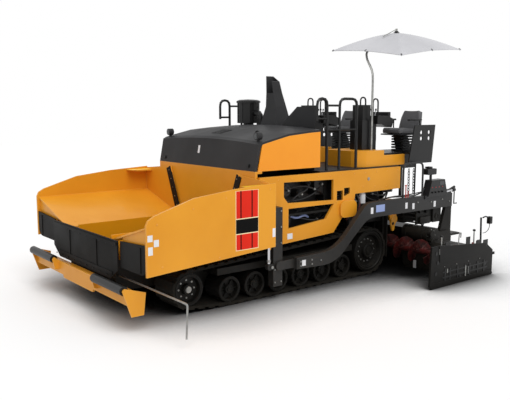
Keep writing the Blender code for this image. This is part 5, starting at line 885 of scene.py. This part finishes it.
class PAVER_OT_rear_machinery(bpy.types.Operator):
    """Deflector plates, covers of the extension rams, gear and lift posts over the screed, tread and tail lamps"""
    bl_idname = "paver.rear_machinery"
    bl_label = "Auger and screed fittings"

    def execute(self, context):
        plates = blocks(((-1.643, 0.73, 0.22), (-1.630, 1.235, 1.10), 3),
                        ((-1.70, 0.20, 0.95), (-1.66, 0.70, 1.06), 6),
                        *(((-1.630, y - 0.008, 0.26), (-1.606, y + 0.008, 1.06), 3) for y in (0.80, 0.98, 1.16)))
        fit_both(plates, "deflectors", "tractor", *BLACK)
        x, z = RAM
        covers = [stepped((x, 1.225, z), OUT, 0.120, 0.50, ((0.014, 0.008), (0.030, 0), (0, 0.022), (0.02, 0.008)), 28)]
        covers += [stepped((x, y, z), OUT, 0.127, 0.018, ((0.004, 0.002),), 28) for y in (1.30, 1.62)]
        covers.append(block((-2.36, 1.30, 0.44), (-2.12, 1.70, 0.66), 10))
        fit_both(covers, "extension_cover", "extension", *BLACK, True)
        fit_both([block((-2.012, 1.48, 0.030), (-2.008, 1.54, 0.160), 0.5)], "extension_tag", "extension", *WHITE, True)
        places = [(x + RAM_BOLTS * math.cos(a), 1.733, z + RAM_BOLTS * math.sin(a))
                  for a in (math.pi / 4 * i for i in range(8))]
        bolted(places, 0.008, "extension_bolts", "extension", sided=True)
        mass = blocks(((-2.46, 0.30, 0.72), (-2.08, 1.20, 0.97), 14, 2),
                      ((-2.78, 1.400, 0.72), (-2.12, 1.425, 1.055), 4),
                      ((-2.50, 1.18, 0.72), (-2.46, 1.41, 1.02), 4), ((-2.44, 1.425, 0.72), (-2.18, 1.47, 0.84), 10, 2),
                      ((-2.74, 1.425, 0.72), (-2.52, 1.46, 0.96), 8))
        for x, z, radius in ((-2.20, 0.95, 0.050), (-2.62, 0.82, 0.055), (-2.36, 0.93, 0.035)):
            mass.append(stepped((x, 1.42, z), OUT, radius, 0.045, ((0.010, 0.006), (0.010, 0), (0, -0.006)), 18))
        for z in (0.75, 0.82, 0.89):
            mass.append(pipe(((-2.08, 0.40, z), (-2.05, 0.80, z - 0.01), (-2.06, 1.18, z + 0.01), (-2.14, 1.39, z)),
                             0.014))
        fit_both(mass, "screed_gear", "screed", *BLACK)
        posts = [stepped((-1.91, LIFT_Y, 1.195), UP, 0.026, 0.20, ((-0.012, 0.01), (0, 0.26)), 14),
                 pipe(((-2.28, LIFT_Y, 1.18), (-2.285, LIFT_Y, 1.70)), 0.012, 8, soft=False)]
        link = pipe(((0, 0, -0.030), (0.013, 0, -0.018), (0.013, 0, 0.018), (0, 0, 0.030), (-0.013, 0, 0.018),
                     (-0.013, 0, -0.018), (0, 0, -0.030)), 0.0055, 6)
        for i in range(9):
            turn = Matrix.Rotation(math.radians(90 * (i % 2)), 4, "Z")
            for x in (-2.12, -2.245):
                posts.append(copied(link, Matrix.Translation((x, LIFT_Y, 1.23 + LINK_PITCH * i)) @ turn))
        bpy.data.objects.remove(link)
        fit_both(posts, "lift_posts", "tractor", *POWDER)
        flange = [stepped(AUGER_MOUNT, OUT, 0.052, 0.014, ((0.010, 0.004), (0.012, 0), (0, -0.008)), 20)]
        fit_both(flange, "auger_mount_ring", "tractor", *YELLOW)
        nut = [stepped(AUGER_MOUNT, OUT, 0.028, 0.022, ((0.004, 0.003),), 6)]
        fit_both(nut, "auger_mount_nut", "tractor", *POWDER)
        tread = [block((-3.215, -1.47, 0.480), (-2.985, 1.47, 0.4835), 1)]
        fit(tread, "walkway_tread", "screed", "chassis_black", "tread_plate")
        lamps = blocks(*(((-3.224, y - 0.06, 0.36), (-3.205, y + 0.06, 0.41), 5) for y in (1.20, -1.20)))
        fit(lamps, "rear_lamps", "screed", *LAMP)
        return {"FINISHED"}


GATE_FACE = 2.440        # Y of an end gate's plate between its raised beams
GATE_OUT = 2.4495        # fittings on that plate end just inside the CAD box
GATE_SCREWS = (-1.46, -2.28)     # X of the two height screws
GATE_SCREW_Y = 2.405


class PAVER_OT_end_gates(bpy.types.Operator):
    """Height screws, ribs, clamps, sensor and bolts of the end gates"""
    bl_idname = "paver.end_gates"
    bl_label = "End gates"

    def execute(self, context):
        def raised(x0, x1, z0, z1, short=0):
            """Low plate on the gate; short is how many millimetres it stays under the highest ones."""
            return block((x0, GATE_FACE - 2 * MM, z0), (x1, GATE_OUT - short * MM, z1), 2)

        black = [raised(*values) for values in (
            (-1.62, -1.50, 0.47, 0.66), (-2.12, -2.02, 0.47, 0.68), (-2.42, -2.30, 0.47, 0.60),
            (-1.49, -1.40, 0.47, 0.60), (-2.60, -2.48, 0.47, 0.58))]
        for x in (-1.52, -1.64, -1.83, -2.02, -2.14, -2.35, -2.52):
            black.append(raised(x - 0.020, x + 0.014, 0.055, 0.262, 2))
        black += [raised(-2.62, -1.46, z0, z1, 4) for z0, z1 in ((0.125, 0.150), (0.205, 0.225))]
        for x, z in ((-1.30, 0.52), (-1.34, 0.38), (-1.30, 0.22), (-1.46, 0.56), (-1.90, 0.10), (-2.24, 0.18),
                     (-2.56, 0.20)):
            black.append(stepped((x, GATE_FACE - MM, z), OUT, 0.030, 0.004, ((0.006, 0.003), (0.008, 0)), 14))
        for x in GATE_SCREWS:
            black.append(stepped((x, GATE_SCREW_Y, 0.40), UP, 0.024, 0.05, ((0.006, 0), (0, 0.02)), 14))
            black.append(stepped((x, GATE_SCREW_Y, 0.74), UP, 0.022, 0.02, ((0.006, 0.006),), 12))
        for i in range(5):
            x = -1.40 - 0.24 * i
            black.append(block((x - 0.022, 2.403, 0.40), (x + 0.022, 2.418, 0.58 + 0.05 * (i % 2)), 4))
        black.append(pipe(((-2.492, 2.41, 0.925), (-2.57, 2.41, 0.935), (-2.66, 2.41, 0.90)), 0.011))
        black.append(block((-2.72, 2.375, 0.81), (-2.65, 2.44, 0.925), 8, 2))
        black.append(pipe(((-2.69, 2.41, 0.82), (-2.67, 2.41, 0.74), (-2.60, 2.41, 0.69), (-2.51, 2.41, 0.68)), 0.005))
        fit_both(black, "gate_brackets", "extension", *POWDER, True)

        steel = [pipe(((x, GATE_SCREW_Y, 0.30), (x, GATE_SCREW_Y, 0.74)), 0.010, 10, soft=False) for x in GATE_SCREWS]
        steel.append(pipe(((-1.836, 2.441, 0.455), (-1.838, 2.441, 0.70), (-1.852, 2.441, 0.752),
                           (-1.885, 2.435, 0.762), (-1.915, 2.42, 0.74), (-1.925, 2.41, 0.68)), 0.008, 8))
        steel += [raised(*values) for values in (
            (-1.585, -1.565, 0.20, 0.26), (-2.045, -2.020, 0.06, 0.24), (-2.11, -2.10, 0.10, 0.22),
            (-1.43, -1.36, 0.565, 0.580), (-1.38, -1.365, 0.50, 0.57))]
        fit_both(steel, "gate_screws", "extension", *STEEL, True)
        red = [raised(*values) for values in (
            (-1.735, -1.695, 0.50, 0.60, 3), (-1.77, -1.70, 0.468, 0.505, 2), (-2.22, -2.17, 0.48, 0.58, 3),
            (-2.25, -2.14, 0.468, 0.50, 2), (-1.99, -1.94, 0.47, 0.53, 3))]
        fit_both(red, "gate_clamps", "extension", *PRIMER, True)
        places = [(x, GATE_FACE + 2 * MM, z) for x in (-1.50, -1.80, -2.10, -2.40) for z in (0.30, 0.42)]
        bolted(places, 0.007, "gate_bolts", "extension", sided=True)
        return {"FINISHED"}


CONSOLE_CENTRES = (0.85, -0.375)


class PAVER_OT_stations(bpy.types.Operator):
    """Levers, dials, screens and armrests of the two operator stations"""
    bl_idname = "paver.stations"
    bl_label = "Operator stations"

    def execute(self, context):
        for (_, word), column, seat in zip(SIDES, CONSOLE_CENTRES, SEAT_CENTRES):
            black, steel, glass, red = [], [], [], []
            for y in (-0.12, -0.06, 0.0):
                foot = Vector((-1.70, column + y, 2.46))
                steel.append(pipe((foot, foot + Vector((-0.03, 0, 0.12))), 0.006, 8, soft=False))
                black.append(stepped(foot + Vector((-0.03, 0, 0.11)), UP, 0.015, 0.020,
                                     ((0.004, 0.010), (0.004, 0.004)), 12))
            black.append(stepped((-1.66, column + 0.10, 2.455), (-0.3, 0, 1), 0.060, 0.020,
                                 ((0.012, 0), (0, -0.008), (0.012, 0.0)), 20))
            black.append(block((-1.90, column - 0.17, 2.40), (-1.84, column + 0.17, 2.55), 8, 2))
            glass.append(block((-1.905, column - 0.13, 2.425), (-1.899, column + 0.02, 2.53), 1))
            for i in range(3):
                red.append(stepped((-1.90, column + 0.05 + 0.035 * i, 2.50), -X_AXIS, 0.008, 0.008,
                                   ((0.002, 0.003),), 10))
            for y in (-0.05, 0.05):
                black.append(stepped((-1.48, column + y, 2.55), -X_AXIS, 0.040, 0.010, ((0.006, 0), (0, -0.004)), 18))
            for y in (-0.10, -0.05, 0.06):
                black.append(pipe(((-1.61, column + y, 2.36), (-1.66, column + y, 2.20), (-1.65, column + y, 2.00),
                                   (-1.61, column + y, 1.90)), 0.012))
            for y in (-0.27, 0.27):
                black.append(block((-2.44, seat + y - 0.028, 2.405), (-2.12, seat + y + 0.028, 2.435), 10, 2))
                black.append(pipe(((-2.40, seat + y, 2.41), (-2.41, seat + y, 2.25), (-2.40, seat + y * 0.75, 2.185)),
                                  0.011))
            for i in range(6):
                z = 1.90 + 0.045 * i
                black.append(block((-2.42, seat - 0.135, z), (-2.18, seat + 0.135, z + 0.030), 8))
            fit(black, "station_controls_" + word, "tractor", *PLASTIC)
            fit(steel, "station_levers_" + word, "tractor", *CHROME)
            fit(glass, "station_screen_" + word, "tractor", *GLASS)
            fit(red, "station_buttons_" + word, "tractor", *LAMP)
        return {"FINISHED"}


HOOD_SLOPE = math.radians(12.3)  # fall of the hood's top towards the front
HOOD_RAKE = math.radians(9.7)    # lean of its front face
HOOD_GRILLE = (0.715, -0.04, 2.2575)
HOOD_PLATE = (1.0592, -0.157, 2.0)


class PAVER_OT_hood_fittings(bpy.types.Operator):
    """Lamp lenses, grille, latches and blank plate of the hood"""
    bl_idname = "paver.hood_fittings"
    bl_label = "Hood fittings"

    def execute(self, context):
        lens = [stepped((1.000, side * 1.14, 2.230), X_AXIS, 0.042, 0.003, ((0.008, 0.003), (0.010, 0.002)), 20)
                for side in (1, -1)]
        fit(lens, "hood_lenses", "hood", "steel", "screen_glass")
        slope = Matrix.Translation(HOOD_GRILLE) @ Matrix.Rotation(HOOD_SLOPE, 4, "Y")
        grille = [block((-0.115, -0.125, -0.020), (0.115, 0.125, 0.003), 2)]
        for i in range(8):
            grille.append(block((-0.105 + 0.028 * i, -0.115, 0.000), (-0.091 + 0.028 * i, 0.115, 0.009), 2))
        for part in grille:
            part.data.transform(slope)
        knob = stepped((0.595, 0.656, 2.266), UP, 0.026, 0.010, ((0.006, 0), (0, 0.008), (0.006, 0.004)), 16)
        latch = [stepped((1.0862, side * 1.09, 1.83), (0.982, 0, 0.191), 0.032, 0.006,
                         ((0.008, 0), (0, 0.010), (0.010, 0.004)), 16) for side in (1, -1)]
        fit(grille + [knob] + latch, "hood_grille", "hood", *PLASTIC)
        plate = block((0, -0.024, -0.058), (0.0015, 0.024, 0.058), 0.3)
        plate.data.transform(Matrix.Translation(HOOD_PLATE) @ Matrix.Rotation(-HOOD_RAKE, 4, "Y"))
        fit([plate], "hood_plate", "hood", *WHITE)
        return {"FINISHED"}


SEAL_TOP, SEAL_FOOT = Vector((1.128, 0.917, 1.689)), Vector((1.128, 0.659, 1.056))
SEAL_HALF = 0.0115       # half the thickness of the seal on a wing's rear edge
APRON_FACE = 3.018       # X of the front apron's outer face


class PAVER_OT_hopper_fittings(bpy.types.Operator):
    """Rubber seals, bright ledges (a painted highlight of their lit tops) and bolts inside the hopper, and the apron's
    bolts
    """
    bl_idname = "paver.hopper_fittings"
    bl_label = "Hopper fittings"

    def execute(self, context):
        seal = block((-SEAL_HALF, -0.040, -0.343), (SEAL_HALF, 0.078, 0.343), 4)
        lean = math.atan2(SEAL_TOP.y - SEAL_FOOT.y, SEAL_TOP.z - SEAL_FOOT.z)
        turn = Matrix.Rotation(-lean, 4, "X")
        seal.data.transform(Matrix.Translation((SEAL_TOP + SEAL_FOOT) / 2) @ turn)
        places = [SEAL_FOOT.lerp(SEAL_TOP, share) + X_AXIS * SEAL_HALF for share in (0.08, 0.29, 0.5, 0.71, 0.92)]
        heads = scattered(hex_bolt(X_AXIS, 0.008), places)
        fit_both([seal], "wing_seal", "wing", "rail_black", "sheet_rubber", True)
        fit_both(heads, "wing_seal_bolts", "wing", *STEEL, True)
        # thin sheet of brighter yellow over each wing's top ledge: a painted highlight of its lit top
        ledge = [block((1.120, 1.462, 1.6102), (1.496, 1.668, 1.6135), 1)]
        fit_both(ledge, "wing_ledge_painted_highlight", "wing", "hopper_yellow", "ledge_painted_highlight", True)
        places = [place for z in (0.96, 0.56) for place in row((APRON_FACE, 0.10, z), (APRON_FACE, 0.90, z), 5)]
        bolted(places, 0.009, "apron_bolts", "tractor", POWDER, axis=X_AXIS)
        return {"FINISHED"}


SHADE_REACH = 1.8        # how near over the floor a thing has to stand to darken it with the painted shadow
SHADE_ENDS = -2.5, 3.2   # X behind and before the machine
SHADE_POWERS = 1.7, 0.4  # what the share of open sky is raised to at those ends
SHADE_SPAN = 0.30, 0.90  # share of open sky at which the floor is darkest, and at which it is clear
KEY_PLACE, KEY_SIDE = (2, 8, 8), Vector((0.16, 0.58, 0.80))
KEY_SPREAD = math.radians(45)
EYE, GAZE = (6.51, 8.08, 2.58), Vector((-0.615, -0.7767, -0.1361))
SENSOR = 36.0            # mm
FOCAL_LENGTH = 655 / 510 # over the picture's width


class PAVER_OT_stage(bpy.types.Operator):
    """Pale floor with a painted shadow under the machine, soft studio light and the camera"""
    bl_idname = "paver.stage"
    bl_label = "Stage"

    def execute(self, context):
        settings = context.scene.paver_stage
        bpy.ops.object.select_all(action="DESELECT")
        bpy.ops.mesh.primitive_plane_add(size=settings.floor_size, location=(0, 0, 0))
        floor = context.active_object
        floor.name = "studio_floor"
        made = bpy.data.materials.new("studio_floor")
        made.use_nodes = True
        tree = made.node_tree
        tree.nodes.clear()
        light = node(tree, "ShaderNodeLightPath")
        # painted shadow: the paper floor's colour darkens where the machine stands close over it, and more behind the
        # machine than before it, as if a broad soft lamp stood ahead and reached under it
        open_sky = node(tree, "ShaderNodeAmbientOcclusion", {"samples": 16, "Distance": SHADE_REACH})
        place = node(tree, "ShaderNodeTexCoord")
        split = node(tree, "ShaderNodeSeparateXYZ", None, {0: (place, "Object")})
        sky = combined(tree, "POWER", (open_sky, "AO"), (remap(tree, (split, "X"), SHADE_ENDS, SHADE_POWERS), 0))
        clear = remap(tree, (sky, 0), SHADE_SPAN)
        shade = node(tree, "ShaderNodeMix", {"data_type": "RGBA", 6: srgb("161616"), 7: settings.floor_colour},
                     {0: (clear, 0)})
        matt = node(tree, "ShaderNodeBsdfDiffuse", None, {"Color": (shade, 2)})
        lift = node(tree, "ShaderNodeMath", {"operation": "MULTIPLY", 1: settings.floor_lift},
                    {0: (light, "Is Camera Ray")})
        lift = combined(tree, "MULTIPLY", (lift, 0), (clear, 0))
        glow = node(tree, "ShaderNodeEmission", {"Color": (1, 1, 1, 1)}, {"Strength": (lift, "Value")})
        both = node(tree, "ShaderNodeAddShader", None, {0: (matt, "BSDF"), 1: (glow, "Emission")})
        node(tree, "ShaderNodeOutputMaterial", None, {"Surface": (both, "Shader")})
        floor.data.materials.append(made)

        world = bpy.data.worlds.new("studio")
        context.scene.world = world
        world.use_nodes = True
        tree = world.node_tree
        tree.nodes.clear()
        light = node(tree, "ShaderNodeLightPath")
        seen = combined(tree, "MAXIMUM", (light, "Is Camera Ray"), (light, "Is Transmission Ray"))
        seen = combined(tree, "MAXIMUM", (seen, 0), (light, "Is Glossy Ray"))
        strength = remap(tree, (seen, 0), after=(settings.fill, 1.0))
        back = node(tree, "ShaderNodeBackground", {"Color": (1, 1, 1, 1)}, {"Strength": (strength, "Result")})
        node(tree, "ShaderNodeOutputWorld", None, {"Surface": (back, "Background")})

        bpy.ops.object.light_add(type="SUN", location=KEY_PLACE)
        lamp = context.active_object
        lamp.name = "key"
        lamp.data.energy = settings.sun_power
        lamp.data.angle = KEY_SPREAD
        lamp.rotation_euler = KEY_SIDE.to_track_quat("Z", "Y").to_euler()

        bpy.ops.object.camera_add(location=EYE)
        camera = context.active_object
        camera.rotation_euler = GAZE.to_track_quat("-Z", "Y").to_euler()
        camera.data.sensor_width = SENSOR
        camera.data.lens = FOCAL_LENGTH * SENSOR
        context.scene.camera = camera
        context.scene.view_settings.view_transform = "Standard"
        return {"FINISHED"}


class PAVER_PT_panel(bpy.types.Panel):
    bl_label = "Paver"
    bl_space_type = "VIEW_3D"
    bl_region_type = "UI"
    bl_category = "Paver"

    def draw(self, context):
        for operator in OPERATORS:
            self.layout.operator(operator.bl_idname)


OPERATORS = (PAVER_OT_stage, PAVER_OT_finishes, PAVER_OT_running_gear, PAVER_OT_canopy, PAVER_OT_seats,
             PAVER_OT_wing_markings, PAVER_OT_hopper_fittings, PAVER_OT_machinery, PAVER_OT_side_panels,
             PAVER_OT_tow_gear, PAVER_OT_tow_arms, PAVER_OT_control_boxes, PAVER_OT_rear_machinery,
             PAVER_OT_end_gates, PAVER_OT_stations, PAVER_OT_hood_fittings)
CLASSES = (PaverStageSettings, PaverFabricSettings, *OPERATORS, PAVER_PT_panel)


def register():
    for one in CLASSES:
        bpy.utils.register_class(one)
    bpy.types.Scene.paver_stage = PointerProperty(type=PaverStageSettings)
    bpy.types.Scene.paver_fabric = PointerProperty(type=PaverFabricSettings)


def unregister():
    del bpy.types.Scene.paver_stage
    del bpy.types.Scene.paver_fabric
    for one in reversed(CLASSES):
        bpy.utils.unregister_class(one)


def main():
    register()
    for operator in OPERATORS:
        group, action = operator.bl_idname.split(".")
        getattr(getattr(bpy.ops, group), action)()


if __name__ == "__main__":
    main()
